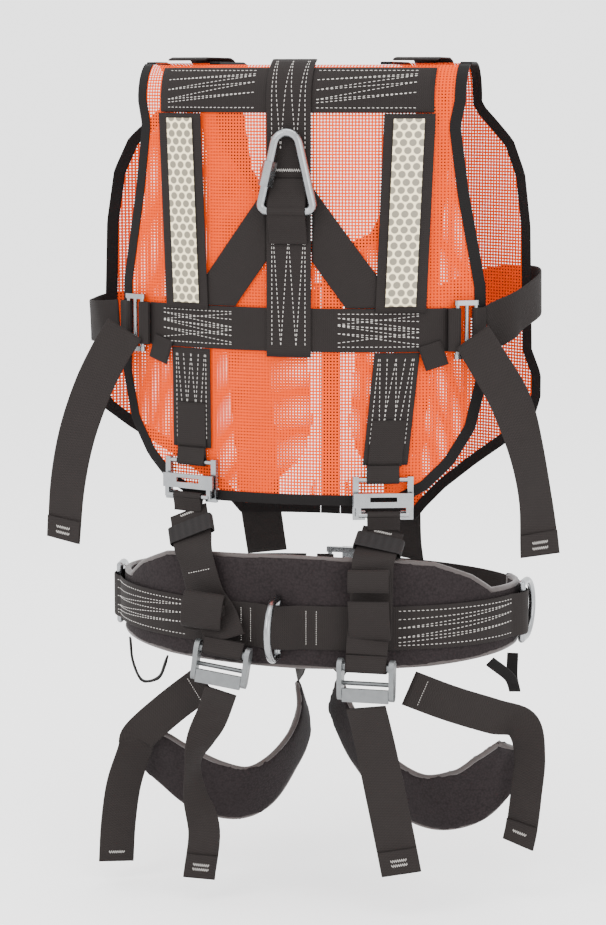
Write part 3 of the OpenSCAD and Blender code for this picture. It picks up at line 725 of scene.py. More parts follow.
def pad_finish(name):
    """Knitted spacer fabric over foam: near black, soft, with small open cells."""
    base = colours().pad
    mat, tree, shader = start(name, base, 0.85, Specular_IOR_Level=0.12)
    place = own_place(tree)
    cells = add(tree, "TexVoronoi", {"Vector": place, "Scale": 1 / (2.4 * MM)}).outputs["Distance"]
    cloud = noise(tree, place, 35, 2.0)
    mixed = blend(tree, cells, 0.9, cloud, 0.3)
    # Colour follows the cells: lighter on their raised middles and darker in the sunk borders between them, which
    # is painted shade; the cloud is the cover's own uneven tone.
    tint(tree, shader, base, mixed, 1.5, 0.6)
    bump(tree, shader, maths(tree, "MULTIPLY", cells, -1.0), 0.5, 0.7)
    return mat


def piping_finish(name):
    """Folded edge tape of the pads: brown-black, paler where its grain stands up and darker in its dips, as painted
    light and shade.
    """
    base = colours().piping
    mat, tree, shader = start(name, base, 0.6, Sheen_Weight=0.2)
    place = own_place(tree)
    grain = noise(tree, place, 3.0, 3.0)
    # Colour follows the grain's bumps: paler on the raised grain as painted highlight, darker in its dips as
    # painted shade.
    tint(tree, shader, base, grain, 0.6, 1.5)
    bump(tree, shader, grain, 0.3, 0.6)
    return mat


def elastic_finish(name):
    """Covered rubber elastic: black, with close ribs along it."""
    return webbing_finish(name, linear("#1C1A1A"), 0.0, 1.8, 8.0)


def steel_finish(name):
    """Zinc-plated forged steel: bright, a little cloudy, with fine rub marks."""
    base = colours().steel
    mat, tree, shader = start(name, base, 0.24, 1.0)
    place = own_place(tree)
    cloud = noise(tree, place, 9, 4.0)
    fine = noise(tree, place, 0.7, 2.0)
    rough = add(tree, "MapRange", {"Value": cloud, "To Min": 0.16, "To Max": 0.36}).outputs[0]
    tree.links.new(rough, shader.inputs["Roughness"])
    tint(tree, shader, base, cloud, 0.8, 1.1)
    bump(tree, shader, fine, 0.05, 0.4)
    return mat


def cast_finish(name):
    """Tumbled cast aluminium: pale, matt and slightly pitted."""
    base = colours().cast
    mat, tree, shader = start(name, base, 0.45, 0.85)
    place = own_place(tree)
    cloud = noise(tree, place, 6, 3.0)
    fine = noise(tree, place, 0.9, 3.0)
    tint(tree, shader, base, cloud, 0.8, 1.12)
    bump(tree, shader, fine, 0.12, 0.6)
    return mat


# Strength of the studio's light, also that of the floor far away
SKY = 2.6


def floor_finish(name):
    """Matt white studio floor that turns into the studio's light far away, so that no horizon shows."""
    mat, tree, shader = start(name, linear("#FFFFFF"), 0.9, Specular_IOR_Level=0.0)
    place = own_place(tree)
    away = add(tree, "VectorMath", {0: place}, operation="LENGTH").outputs["Value"]
    sockets = {"Value": away, "From Min": 1.2, "From Max": 6.0}
    far = add(tree, "MapRange", sockets, interpolation_type="SMOOTHSTEP").outputs[0]
    tree.links.new(shade(tree, far, linear("#F4F4F4"), (0, 0, 0)), shader.inputs["Base Color"])
    shader.inputs["Emission Strength"].default_value = SKY
    tree.links.new(shade(tree, far, (0.1, 0.1, 0.1), (1, 1, 1)), shader.inputs["Emission Color"])
    return mat


FINISHES = {
    "webbing": webbing_finish,
    "twill": twill_finish,
    "binding_tape": tape_finish,
    "mesh_fabric": mesh_finish,
    "reflective": film_finish,
    "thread": thread_finish,
    "pad_fabric": pad_finish,
    "piping": piping_finish,
    "elastic": elastic_finish,
    "zinc_steel": steel_finish,
    "cast_alloy": cast_finish,
    "studio": floor_finish,
}


# ---- vest ---------------------------------------------------------------------------------


def net(name, rows, cols, place, inside, hole):
    """Open knitted mesh, kept where inside: a grid of square cells, each with a square hole.
    Gives the object and the area of its yarn in square metres."""
    points, faces = [], []
    corner = {}

    def node(i, j):
        if (i, j) not in corner:
            corner[i, j] = len(points)
            points.append(place(i, j))
        return corner[i, j]

    area = 0.0
    for i in range(rows):
        for j in range(cols):
            if not inside(i + 0.5, j + 0.5):
                continue
            ring = [node(i, j), node(i, j + 1), node(i + 1, j + 1), node(i + 1, j)]
            mid = (points[ring[0]] + points[ring[1]] + points[ring[2]] + points[ring[3]]) / 4
            first = len(points)
            points += [mid.lerp(points[k], hole) for k in ring]
            for k in range(4):
                n = (k + 1) % 4
                faces.append((ring[k], ring[n], first + n, first + k))
            area += (points[ring[1]] - points[ring[0]]).length * (points[ring[3]] - points[ring[0]]).length
    obj = make_piece(name, points, faces, material("mesh_fabric"))
    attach(obj, "harness")
    return obj, area * (1 - hole * hole) * MM * MM


def back_mesh():
    pitch = sizes().mesh_pitch
    cover = sizes().binding_w * 0.45
    top = fall(bend(1))
    rows = round((fall(-BACK_LEN) - top) / pitch)
    cols = round(2 * VEST_HALF / pitch)

    def spot(i, j):
        return (j - cols / 2) * pitch, height(top + i * pitch)

    def place(i, j):
        x, z = spot(i, j)
        return vest_place(x, z, MESH_T / 2)[0]

    def inside(i, j):
        x, z = spot(i, j)
        return abs(x) < half_w(z) - cover and z > -BACK_LEN + cover

    obj, area = net("back_mesh", rows, cols, place, inside, sizes().mesh_hole)
    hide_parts("back_panel")


# Inner edge of the side cloth and outer edge of the zip's strip, by height down the front
GAP_SIDE = ((300, 30), (360, 24), (400, 22), (430, 30), (450, 44), (468, 66), (500, 60))
GAP_ZIP = ((300, 12), (360, 12), (420, 12), (450, 14), (470, 22), (500, 34))


def front_mesh(s):
    pitch = sizes().mesh_pitch
    cover = sizes().binding_w * 0.45
    over = 18
    down = round(fall(-FRONT_LEN) / pitch)
    cols = round((VEST_HALF + FLARE - ZIP_HALF) / pitch)

    def spot(i, j):
        k = -0.3 + 1.3 * i / over if i < over else 1 - height((i - over) * pitch)
        return j * pitch + ZIP_HALF, k

    def place(i, j):
        x, k = spot(i, j)
        return vest_place(s * x, k, MESH_T / 2)[0]

    def inside(i, j):
        x, k = spot(i, j)
        z = min(0, 1 - k)
        if x > front_half_w(z) - cover or x < neck_at(z) + cover or z < -FRONT_LEN + cover:
            return False
        if z > -300 or z < -FRONT_LEN + 16:
            return True
        return not lookup(-z, GAP_ZIP) < x < lookup(-z, GAP_SIDE)

    side = SIDE_NAME[s]
    obj, area = net("front_mesh_" + side, over + down, cols, place, inside, sizes().mesh_hole * 0.86)
    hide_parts("front_panel_" + side)
    wide, long = (VEST_HALF + FLARE - ZIP_HALF) * MM, (FRONT_LEN + 60) * MM
    area = max(area, 0.31 * wide * long)


def edge_band(outline, s, out=0.0):
    """Binding folded over the mesh along an outline of (x, k); it lies on the s side of the outline."""
    pts = [Vector(p) for p in outline]
    w = sizes().binding_w
    rows = []
    for i in range(len(pts)):
        go = (at(pts, i + 1) - at(pts, i - 1)).normalized()
        rows.append((pts[i], Vector((go.y, -go.x)) * s))

    def place(i, u):
        p = rows[i][0] + rows[i][1] * (u + w / 2)
        return vest_place(p.x, p.y, MESH_T / 2 + out)

    return Band(place, len(rows), w, MESH_T + 2 * SEAM)


def back_outline(n=7.0):
    """Right edge of the back from the shoulder to the middle of the hem."""
    side = [Vector((half_w(z), z)) for z in heights(bend(1), -BACK_LEN * 0.965, n)]
    corner = [Vector((half_w(z), z)) for z in steps(-BACK_LEN * 0.97, -BACK_LEN, 4)]
    hem = [Vector((x, -BACK_LEN)) for x in (98, 85, 70, 50, 25, 0)]
    return side + corner + hem


def front_outline(n=7.0):
    over = [Vector((half_w(0), k)) for k in OVER]
    down = [Vector((front_half_w(z), 1 - z)) for z in heights(bend(1), -FRONT_LEN * 0.965, n)]
    corner = [Vector((front_half_w(z), 1 - z)) for z in steps(-FRONT_LEN * 0.97, -FRONT_LEN, 4)]
    hem = [Vector((x, 1 + FRONT_LEN)) for x in (88, 70, 50, 30, ZIP_HALF + GAP)]
    return over + down + corner + hem


def neck_outline():
    over = [Vector((neck_at(0), k)) for k in OVER]
    return over + [Vector((neck_at(z), 1 - z)) for z in heights(bend(1), -199, 7.0)]


def mirrored(outline):
    return [Vector((-p.x, p.y)) for p in outline]


class HARNESS_OT_vest_mesh(bpy.types.Operator):
    """Knit the back and front panels of the vest."""

    bl_idname = "harness.vest_mesh"
    bl_label = "Vest mesh"

    def execute(self, context):
        back_mesh()
        for s in SIDES:
            front_mesh(s)
        return {"FINISHED"}


class HARNESS_OT_vest_binding(bpy.types.Operator):
    """Bind the edges of the vest and sew in the zip's tape."""

    bl_idname = "harness.vest_binding"
    bl_label = "Vest binding"

    def execute(self, context):
        right = back_outline()
        around = right + mirrored(right)[::-1][1:]
        tape = {"finish": "binding_tape", "slot": "binding_tape"}
        web_piece("back_edge_tape", [edge_band(around, 1)], "back_binding", **tape)
        for s in SIDES:
            edges = [edge_band(front_outline(), -1), edge_band(neck_outline(), 1)]
            if s < 0:
                edges = [edge_band(mirrored(front_outline()), 1), edge_band(mirrored(neck_outline()), -1)]
            web_piece("front_edge_tape_" + SIDE_NAME[s], edges, "front_binding_" + SIDE_NAME[s], **tape)
        ks = [1 - z for z in heights(-201, -FRONT_LEN)]
        zip_band = vest_band(ks, lambda k: 0.0, 2 * ZIP_HALF, -0.3, MESH_T)
        web_piece("zip_cloth", [zip_band], "zip_tape", **tape)
        return {"FINISHED"}


# ---- straps of the back -------------------------------------------------------------------


def strap_mid(z):
    """Middle of the shoulder straps at height z."""
    return lookup(-z, ((50, STRAP_X + 9), (-CHEST_Z, STRAP_X)))


# Middle of each back buckle as (x, height)
MID_AT = ((-109.0, -435.0), (97.0, -447.0))
MID_OUT = MESH_T + SEAM + GAP + 3
BAR_UP = 19.0
PLATE_OUT = 7.2
PLATE_BAR = -17.0
DORSAL_Z = -150.0
LINK_D = 9.0
DORSAL_OUT = level(2) + 2 * WEB_HALF + RUN + LINK_D / 2


def at_mid(i):
    return on_back(MID_AT[i][0], MID_AT[i][1], MID_OUT)


def at_adjuster(s, inner):
    """The bar of a side adjuster that the webbing goes round: inner is -1 for the chest strap's end."""
    turned = turn(180, "Z") if s * inner > 0 else Matrix()
    return on_back(s * ADJUSTER_X, CHEST_Z, ADJUSTER_OUT) @ shift(s * inner * 10, 0, 0) @ turned


class HARNESS_OT_back_straps(bpy.types.Operator):
    """Lay and sew the yoke, spine, cross, chest, shoulder and back straps."""

    bl_idname = "harness.back_straps"
    bl_label = "Back straps"

    def execute(self, context):
        w = sizes().web_w
        sewing = Sewing()
        yoke = level_band(steps(-145, 145, 40), height((fall(bend(2)) + fall(-50)) / 2), 48, level(0))
        web_piece("yoke_webbing", [yoke], "yoke_strap")
        for s in SIDES:
            a, b = sorted((145 + s * 32, 145 + s * 136))
            for u in (-19, 19):
                sewing.run(yoke, [(u, a), (u, b)])
            sewing.run(yoke, [(-14, a), (-4, b), (-11, a), (6, b), (-2, a), (13, b), (8, a), (15, b)])
        spine_top, spine_foot = bend(1), CHEST_Z - 28
        spine = vest_band(heights(spine_top, spine_foot), lambda k: 0.0, w + 2, level(1))
        web_piece("spine_webbing", [spine], "spine_strap")
        down = fall(spine_top)
        sewing.box(spine, 17.5, 5, fall(-95) - down, 4)
        sewing.tack(spine, -19, 19, fall(-116) - down)
        sewing.box(spine, 17.5, fall(-184) - down, fall(-297) - down, 4)
        sewing.tack(spine, -18, 18, fall(-182) - down)
        self.dorsal_loop(sewing)
        for s in SIDES:
            self.side(s, w, sewing)
        reach = ADJUSTER_X - 18
        chest = level_band(steps(-reach, reach, 40), CHEST_Z, w, level(0))
        ends = [loop_band(at_adjuster(s, -1), ADJUSTER_BAR_R, 10, w) for s in SIDES]
        web_piece("chest_webbing", [chest, *ends], "chest_strap")
        for s in SIDES:
            a, b = sorted((reach + s * 56, reach + s * 142))
            for u in (-17, 17):
                sewing.run(chest, [(u, a), (u, b)])
            sewing.run(chest, [(-15, b), (-3, a), (-8, b), (5, a), (1, b), (13, a), (9, b)])
            sewing.run(chest, [(15, b), (6, a), (-2, b), (-13, a)])
        sewing.finish("back_strap_stitching", "harness")
        return {"FINISHED"}

    def dorsal_loop(self, sewing):
        """Webbing over the quick link's bar, from the row of stitches above it to the box below."""
        y0 = -VEST_DEPTH - level(2) - WEB_HALF
        bar = Vector((0, -VEST_DEPTH - DORSAL_OUT, DORSAL_Z))
        ring = LINK_D / 2 + RUN + WEB_HALF
        angles = [math.radians(a) for a in (62, 30, 0, -30, -62)]
        turns = [bar + Vector((0, -math.cos(a), math.sin(a))) * ring for a in angles]
        path = [
            Vector((0, y0, -117)), Vector((0, y0 - 0.6, -127)), Vector((0, y0 - 6, -140)), *turns,
            Vector((0, y0 - 7, -160)), Vector((0, y0 - 1.2, -174)), Vector((0, y0, -184)),
        ]
        over = ribbon(path, [X] * len(path), 40, 36)
        web_piece("dorsal_webbing", [over], "dorsal_loop")
        sewing.tack(over, -17, 17, 3, face=-1)

    def cross_band(self, s, w):
        """Slanting strap whose ends are cut along the spine's edge and the chest strap's."""
        top, foot = Vector((30, -172)), Vector((77, CHEST_Z + w * 0.798))
        go = (foot - top).normalized()
        across = Vector((-go.y, go.x))
        spine_edge, chest_edge, n = w / 2 + 1.6, CHEST_Z + w / 2 + 0.6, 20

        def place(i, u):
            first = (spine_edge - top.x - across.x * u) / go.x
            last = (chest_edge - top.y - across.y * u) / go.y
            p = top + go * (first + (last - first) * i / n) + across * u
            return vest_place(s * p.x, p.y, level(0) + WEB_HALF)

        return Band(place, n + 1, w)

    def side(self, s, w, sewing):
        side = SIDE_NAME[s]
        i = SIDES.index(s)
        web_piece("cross_webbing_" + side, [self.cross_band(s, w)], "cross_strap_" + side)
        ks = heights(-51, CHEST_Z + w / 2 - 4)
        shoulder = vest_band(ks, lambda k: s * strap_mid(k), 50, level(1))
        web_piece("shoulder_webbing_" + side, [shoulder], "shoulder_strap_" + side)
        tape = vest_band(heights(-56, -248), lambda k: s * strap_mid(k), 30, level(2) - 0.5, 0.4)
        node = "reflective_tape_" + side
        web_piece("reflective_film_" + side, [tape], node, "reflective", slot="reflective")
        top, bar_z = CHEST_Z - w / 2 - GAP, MID_AT[i][1] + BAR_UP

        def mid(k):
            return lookup(-k, ((-top, s * 110), (-bar_z, MID_AT[i][0])))

        back = vest_band(heights(top, bar_z + 15), mid, w, level(0))
        over_tab = vest_band(heights(bar_z + 62, bar_z + 14), mid, 34, level(1) - 0.4)
        loop = loop_band(at_mid(i) @ shift(0, 0, BAR_UP) @ turn(90, "Y"), BAR_R, 15, 34)
        web_piece("back_webbing_" + side, [back, over_tab, loop], "back_strap_" + side)
        sewing.box(back, 17.5, 5, 96, 4)
        sewing.run(back, [(-9, 5), (-3, 96)])
        sewing.run(back, [(9, 5), (3, 96)])
        x0, x1 = STRAP_X + 22, ADJUSTER_X - 21
        path = [(s * (x0 + (x1 - x0) * t), CHEST_Z - 30 + 7 * t) for t in steps(0, 1, 6)]
        web_piece("keeper_webbing_" + side, [slant_band(path, 26, level(1))], "keeper_strap_" + side)


class HARNESS_OT_front_straps(bpy.types.Operator):
    """Lay the straps that cross the shoulders and run down the front to the belt."""

    bl_idname = "harness.front_straps"
    bl_label = "Front straps"

    def execute(self, context):
        w = sizes().web_w
        sewing = Sewing()
        for s in SIDES:

            def mid(k, s=s):
                if k < 1:
                    return s * (STRAP_X + 9)
                return s * lookup(k - 1, ((38, STRAP_X + 9), (100, STRAP_X), (430, 84)))

            ks = [bend(1), bend(1) / 2, *steps(0, 1, 10)] + [1 - z for z in heights(bend(1), -430)]
            top = vest_band(ks, mid, w, level(1))
            y = depth(84)
            wide = [(1, -s * 84 / BOW, 0)] * 4
            points = [
                (s * 84, y + level(1) + WEB_HALF, -430.4), (s * 82, y + level(1) + 4, -480),
                (s * 80, y + 24, -524), (s * 80, BELT_HALF_D - 9, BELT_Z + 25),
            ]
            foot = ribbon(points, wide, w, 16)
            web_piece("front_webbing_" + SIDE_NAME[s], [top, foot], "front_strap_" + SIDE_NAME[s])
            sewing.box(top, 17, 190, 290, 4)
            sewing.tack(foot, -16, 16, 12, face=1)
        sewing.finish("front_strap_stitching", "harness")
        return {"FINISHED"}


# ---- side and lower straps ----------------------------------------------------------------


class HARNESS_OT_side_straps(bpy.types.Operator):
    """Lead the side straps round the body and hang their loose ends from the adjusters."""

    bl_idname = "harness.side_straps"
    bl_label = "Side straps"

    def execute(self, context):
        for s in SIDES:
            self.round_body(s)
            self.loose_end(s)
        return {"FINISHED"}

    def round_body(self, s):
        out = ADJUSTER_OUT
        w = sizes().web_w
        z1 = CHEST_Z + (33 if s > 0 else -4)
        a = math.atan(s * ADJUSTER_X / BOW)
        p0 = Vector((s * ADJUSTER_X + math.sin(a) * out, -depth(ADJUSTER_X) - math.cos(a) * out, CHEST_Z))
        begin = p0 + Vector((math.cos(a), math.sin(a), 0)) * (s * 20.5)
        y1 = VEST_DEPTH + 14 + (PLATE_OUT if s > 0 else 0)
        points = [
            begin, (s * 226, -38, (CHEST_Z + z1) / 2), (s * 246, 2, z1), (s * 230, 48, z1 + 4),
            (s * 180, 80, z1 - 2), (s * 110, 100, CHEST_Z + 4), (s * 60, y1 + s * 1.5, CHEST_Z),
            (s * 34, y1, CHEST_Z),
        ]
        up = (0, 0, 1)
        band = ribbon(points, [up, (s * 0.18, 0, 1), up, up, up, up, up, up], w, 63)
        near = loop_band(at_adjuster(s, 1), ADJUSTER_BAR_R, 11, w)
        end_x = -BAR_UP if s < 0 else -PLATE_BAR
        far = loop_band(shift(end_x, y1, CHEST_Z) @ (Matrix() if s < 0 else turn(180, "Z")), BAR_R, 16, w)
        side = SIDE_NAME[s]
        web_piece("side_webbing_" + side, [band, near, far], "side_strap_" + side)
        sewing = Sewing()
        sewing.box(band, 17, band.length[-1] - 75, band.length[-1] - 6, 4, face=1 if s < 0 else -1)
        sewing.finish("side_strap_stitching_" + side, "harness")

    def loose_end(self, s):
        a = ADJUSTER_X + 8
        y = -depth(ADJUSTER_X) - 20
        if s < 0:
            points = [
                (-a, y, CHEST_Z - 6), (-202, y - 8, CHEST_Z - 34), (-219, -84, CHEST_Z - 70),
                (-235, -90, CHEST_Z - 119), (-246, -90, CHEST_Z - 173), (-253, -84, CHEST_Z - 234),
            ]
            wide = [
                (-0.6, 0, 0.8), (-0.75, 0, 0.66), (-0.88, 0, 0.45),
                (-0.95, 0.1, 0.25), (-1, 0.2, 0.15), (-1, 0.3, 0.1),
            ]
        else:
            points = [
                (a, y, CHEST_Z - 6), (205, y - 8, CHEST_Z - 33), (227, -80, CHEST_Z - 70),
                (243, -78, CHEST_Z - 118), (253, -72, CHEST_Z - 172), (258, -68, CHEST_Z - 232),
            ]
            wide = [
                (0.6, 0, 0.8), (0.72, 0, 0.7), (0.8, 0.2, 0.5),
                (0.7, 0.6, 0.3), (0.7, 0.7, 0.1), (0.9, 0.4, 0),
            ]
        side = SIDE_NAME[s]
        node = "side_tail_" + side
        tail = ribbon(points, wide, sizes().tail_w, 42)
        sewing = loose_strap("side_tail", side, node, node, tail, 24, (10, 16), s)
        sewing.finish("side_tail_stitching_" + side, node)


# Middle of each lower buckle and its lean in degrees
LOW_AT = ((-61.0, -151.0, BELT_Z - 39), (92.0, -151.0, BELT_Z - 48))
LOW_TILT = (8.0, 0.0)


def at_low(i):
    return shift(*LOW_AT[i]) @ turn(LOW_TILT[i], "Y")


def pad_y(x):
    return -BELT_HALF_D * math.sqrt(1 - ((x - BELT_X) / BELT_HALF_W) ** 2)


def lower_path(i):
    """Where each lower strap runs, from its plate's bar over the pad to its buckle's roller."""
    m, b = MID_AT[i], LOW_AT[i]
    a, t = math.atan(m[0] / BOW), math.radians(LOW_TILT[i])
    x = [b[0] + (m[0] - b[0]) * f for f in (0.69, 0.4, 0.06)]
    y = -depth(m[0]) - MID_OUT - math.cos(a) * PLATE_OUT
    begin = Vector((m[0] + math.sin(a) * PLATE_OUT, y, m[1] + PLATE_BAR - 15.5))
    crest = Vector((x[0], pad_y(x[0]) - 9, BELT_Z + 69))
    foot = Vector((b[0] + math.sin(t) * 25, b[1], b[2] + math.cos(t) * 25))
    belt = Vector((x[1], pad_y(x[1]) - 8.5, BELT_Z + 24))
    return [begin, (begin + crest) / 2, crest, belt, Vector((x[2], b[1] + 5, b[2] + 41)), foot]


def lower_wide(i):
    lean = MID_AT[i][0] / BOW
    tilt = -math.tan(math.radians(LOW_TILT[i]))
    return [Vector(v) for v in ((1, lean, 0),) * 3 + ((1, lean * 0.7, 0), (1, lean * 0.4, 0), (1, 0, tilt))]


class HARNESS_OT_lower_straps(bpy.types.Operator):
    """Lay the straps from the vest to the lower buckles, their elastic keepers and loose ends."""

    bl_idname = "harness.lower_straps"
    bl_label = "Lower straps"

    def execute(self, context):
        for i, side in enumerate(("left", "right")):
            self.strap(i, side)
            self.keeper(i, side)
            self.loose_end(i, side)
        return {"FINISHED"}

    def strap(self, i, side):
        w = sizes().web_w - 2
        bar = at_mid(i) @ shift(0, -PLATE_OUT, PLATE_BAR) @ turn(90, "Y") @ turn(180, "Z")
        loop = loop_band(bar, BAR_R, 16, 34)
        band = ribbon(lower_path(i), lower_wide(i), w, 48)
        roller = loop_band(at_low(i) @ shift(0, 0, 12) @ turn(90, "Y"), ROLLER_R, 13, w, spread=1.4)
        path = lower_path(i)
        spot = path[2].lerp(path[3], 1.25 if i == 0 else 1.0)
        if i == 0:
            fold = folded(spot + Vector((-4, -15, 0)), 25, 12, w, 6, 1.6)
        else:
            fold = folded(spot + Vector((0, -9.5, 4)), 36, 6.5, w, -2)
        web_piece("lower_webbing_" + side, [loop, band, roller, fold], "lower_strap_" + side)
        sewing = Sewing()
        sewing.tack(band, -9, 9, 4)
        sewing.run(band, [(-14, 74), (14, 74)], pitch=3.0)
        sewing.finish("lower_strap_stitching_" + side, "harness")

    def keeper(self, i, side):
        path = along(lower_path(i), 40)
        wide = along(lower_wide(i), 40)[7]
        v = (path[4] - path[10]).normalized()
        x = (wide - v * wide.dot(v)).normalized()
        y = v.cross(x)
        place = Matrix((x, y, v)).transposed().to_4x4()
        place.translation = path[7]
        half_x, half_y, round_r = sizes().web_w / 2 + 2.2, 4.2, 2.6
        ring = []
        for cx, cy, a0 in ((1, 1, 0), (-1, 1, 90), (-1, -1, 180), (1, -1, 270)):
            corner = Vector((cx * (half_x - round_r), cy * (half_y - round_r), 0))
            for a in map(math.radians, range(a0, a0 + 91, 30)):
                ring.append(corner + Vector((math.cos(a), math.sin(a), 0)) * round_r)
        ring.append(ring[0])
        turned = place.to_3x3()

        def put(k, u):
            go = (ring[(k + 1) % (len(ring) - 1)] - ring[(k - 1) % (len(ring) - 1)]).normalized()
            return place @ (ring[k] + Z * u), turned @ Vector((go.y, -go.x, 0))

        sleeve = Band(put, len(ring), 20, 1.3)
        node = "elastic_keeper_" + side
        web_piece("elastic_sleeve_" + side, [sleeve], node, "elastic", "keeper_" + side, "elastic")

    def loose_end(self, i, side):
        b = LOW_AT[i]
        if i == 0:
            points = [
                (b[0], b[1] - 2, b[2] - 29), (-76, -134, BELT_Z - 101), (-89, -131, BELT_Z - 127),
                (-98, -130, BELT_Z - 156), (-96, -130, BELT_Z - 188), (-86, -130, BELT_Z - 226),
                (-92, -130, BELT_Z - 278),
            ]
            wide = [
                (1, 0, 0), (1, 0.1, 0), (0.8, 0.6, 0), (0.25, 0.97, 0),
                (0.5, 0.85, 0), (0.9, 0.4, 0), (0.95, 0.3, 0),
            ]
            width = sizes().tail_w - 8
        else:
            points = [
                (b[0], b[1] - 2, b[2] - 29), (97, -140, BELT_Z - 110), (108, -136, BELT_Z - 165),
                (118, -134, BELT_Z - 215), (126, -132, BELT_Z - 257),
            ]
            wide = [(1, 0, 0.1)] * 2 + [(1, 0.1, 0.1)] * 3
            width = sizes().tail_w
        node = "lower_tail_" + side
        sewing = loose_strap("lower_tail", side, node, node, ribbon(points, wide, width, 42), 26, (11, 16))
        sewing.finish("lower_tail_stitching_" + side, node)


# ---- belt and pads ------------------------------------------------------------------------


def belt_point(a, z, d):
    a = math.radians(a)
    return Vector((BELT_X + (BELT_HALF_W + d) * math.cos(a), (BELT_HALF_D + d) * math.sin(a), z))


# Places round the belt in degrees, and each ring's with half the width of the belt's rise over its bar
REAR_A = -93.4
SIDE_A = (-175.0, -5.0)
RING_D = 7.5
RINGS = ((REAR_A, 6), (SIDE_A[0], 9), (SIDE_A[1], 9))


def lift(a):
    """How far the belt rises to pass over a ring's bar."""
    found = [math.cos(math.radians(90 * (a - r[0]) / r[1])) for r in RINGS if abs(a - r[0]) < r[1]]
    return (RING_D + 0.4) * max(found, default=0.0)


# Height of the lumbar pad's edges from the belt's middle, by degrees from the back
PAD_TOP = ((0, 74), (30, 71), (42, 66), (56, 50), (66, 33), (112, 29))
PAD_FOOT = ((0, 45), (40, 43), (80, 36), (112, 34))


def swell(obj, most):
    """Fills a closed shape with foam: it is remeshed and inflated as cloth, and no point goes further than most."""
    mesh_again = obj.modifiers.new("Remesh", "REMESH")
    mesh_again.mode = "VOXEL"
    mesh_again.voxel_size = 4.0 * MM
    bpy.context.view_layer.objects.active = obj
    bpy.ops.object.modifier_apply(modifier=mesh_again.name)
    rest = [v.co.copy() for v in obj.data.vertices]
    cloth = obj.modifiers.new("Cloth", "CLOTH")
    settings = cloth.settings
    settings.quality = 4
    settings.tension_stiffness = 12
    settings.bending_stiffness = 2
    settings.use_pressure = True
    settings.uniform_pressure_force = 4.0
    settings.effector_weights.gravity = 0.0
    scene = bpy.context.scene
    scene.frame_start, scene.frame_end = 1, 20
    for number in range(1, 21):
        scene.frame_set(number)
    solved = obj.evaluated_get(bpy.context.evaluated_depsgraph_get())
    moved = [v.co.copy() for v in solved.data.vertices]
    obj.modifiers.clear()
    scene.frame_set(1)
    for v, old, new in zip(obj.data.vertices, rest, moved):
        step = new - old
        v.co = old + step * min(1.0, most * MM / max(step.length, 1e-9))
    smooth = obj.modifiers.new("Smooth", "SMOOTH")
    smooth.factor, smooth.iterations = 0.5, 3
    bpy.ops.object.modifier_apply(modifier=smooth.name)
    fine = obj.modifiers.new("Subdivision", "SUBSURF")
    fine.levels = fine.render_levels = 1
    bpy.ops.object.modifier_apply(modifier=fine.name)
    obj.data.polygons.foreach_set("use_smooth", [True] * len(obj.data.polygons))


def closed_grid(outer, inner):
    """Points and faces of a closed slab between two grids of points."""
    rows, cols = len(outer), len(outer[0])
    points = [p for grid in (outer, inner) for row in grid for p in row]
    base = rows * cols
    faces = []
    for i in range(rows - 1):
        for j in range(cols - 1):
            a = i * cols + j
            faces.append((a, a + 1, a + cols + 1, a + cols))
            faces.append((base + a, base + a + cols, base + a + cols + 1, base + a + 1))
        for j in (0, cols - 1):
            a = i * cols + j
            faces.append((a, a + cols, base + a + cols, base + a))
    for j in range(cols - 1):
        for i in (0, rows - 1):
            a = i * cols + j
            faces.append((a, a + 1, base + a + 1, base + a))
    return points, faces


def edging(name, path, body, r):
    """Round piping along the closed edge of a pad."""
    points, faces = [], []
    n, sides = len(path), 8
    side = None
    for i in range(n):
        go = (path[(i + 1) % n] - path[i - 1]).normalized()
        side = go.orthogonal().normalized() if side is None else (side - go * side.dot(go)).normalized()
        up = go.cross(side)
        for k in range(sides):
            a = 2 * math.pi * k / sides
            points.append(path[i] + (side * math.cos(a) + up * math.sin(a)) * r)
    for i in range(n):
        for k in range(sides):
            a, b = i * sides, ((i + 1) % n) * sides
            m = (k + 1) % sides
            faces.append((a + k, a + m, b + m, b + k))
    obj = make_piece(name, points, faces, material("piping"))
    outward(obj)
    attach(obj, body)


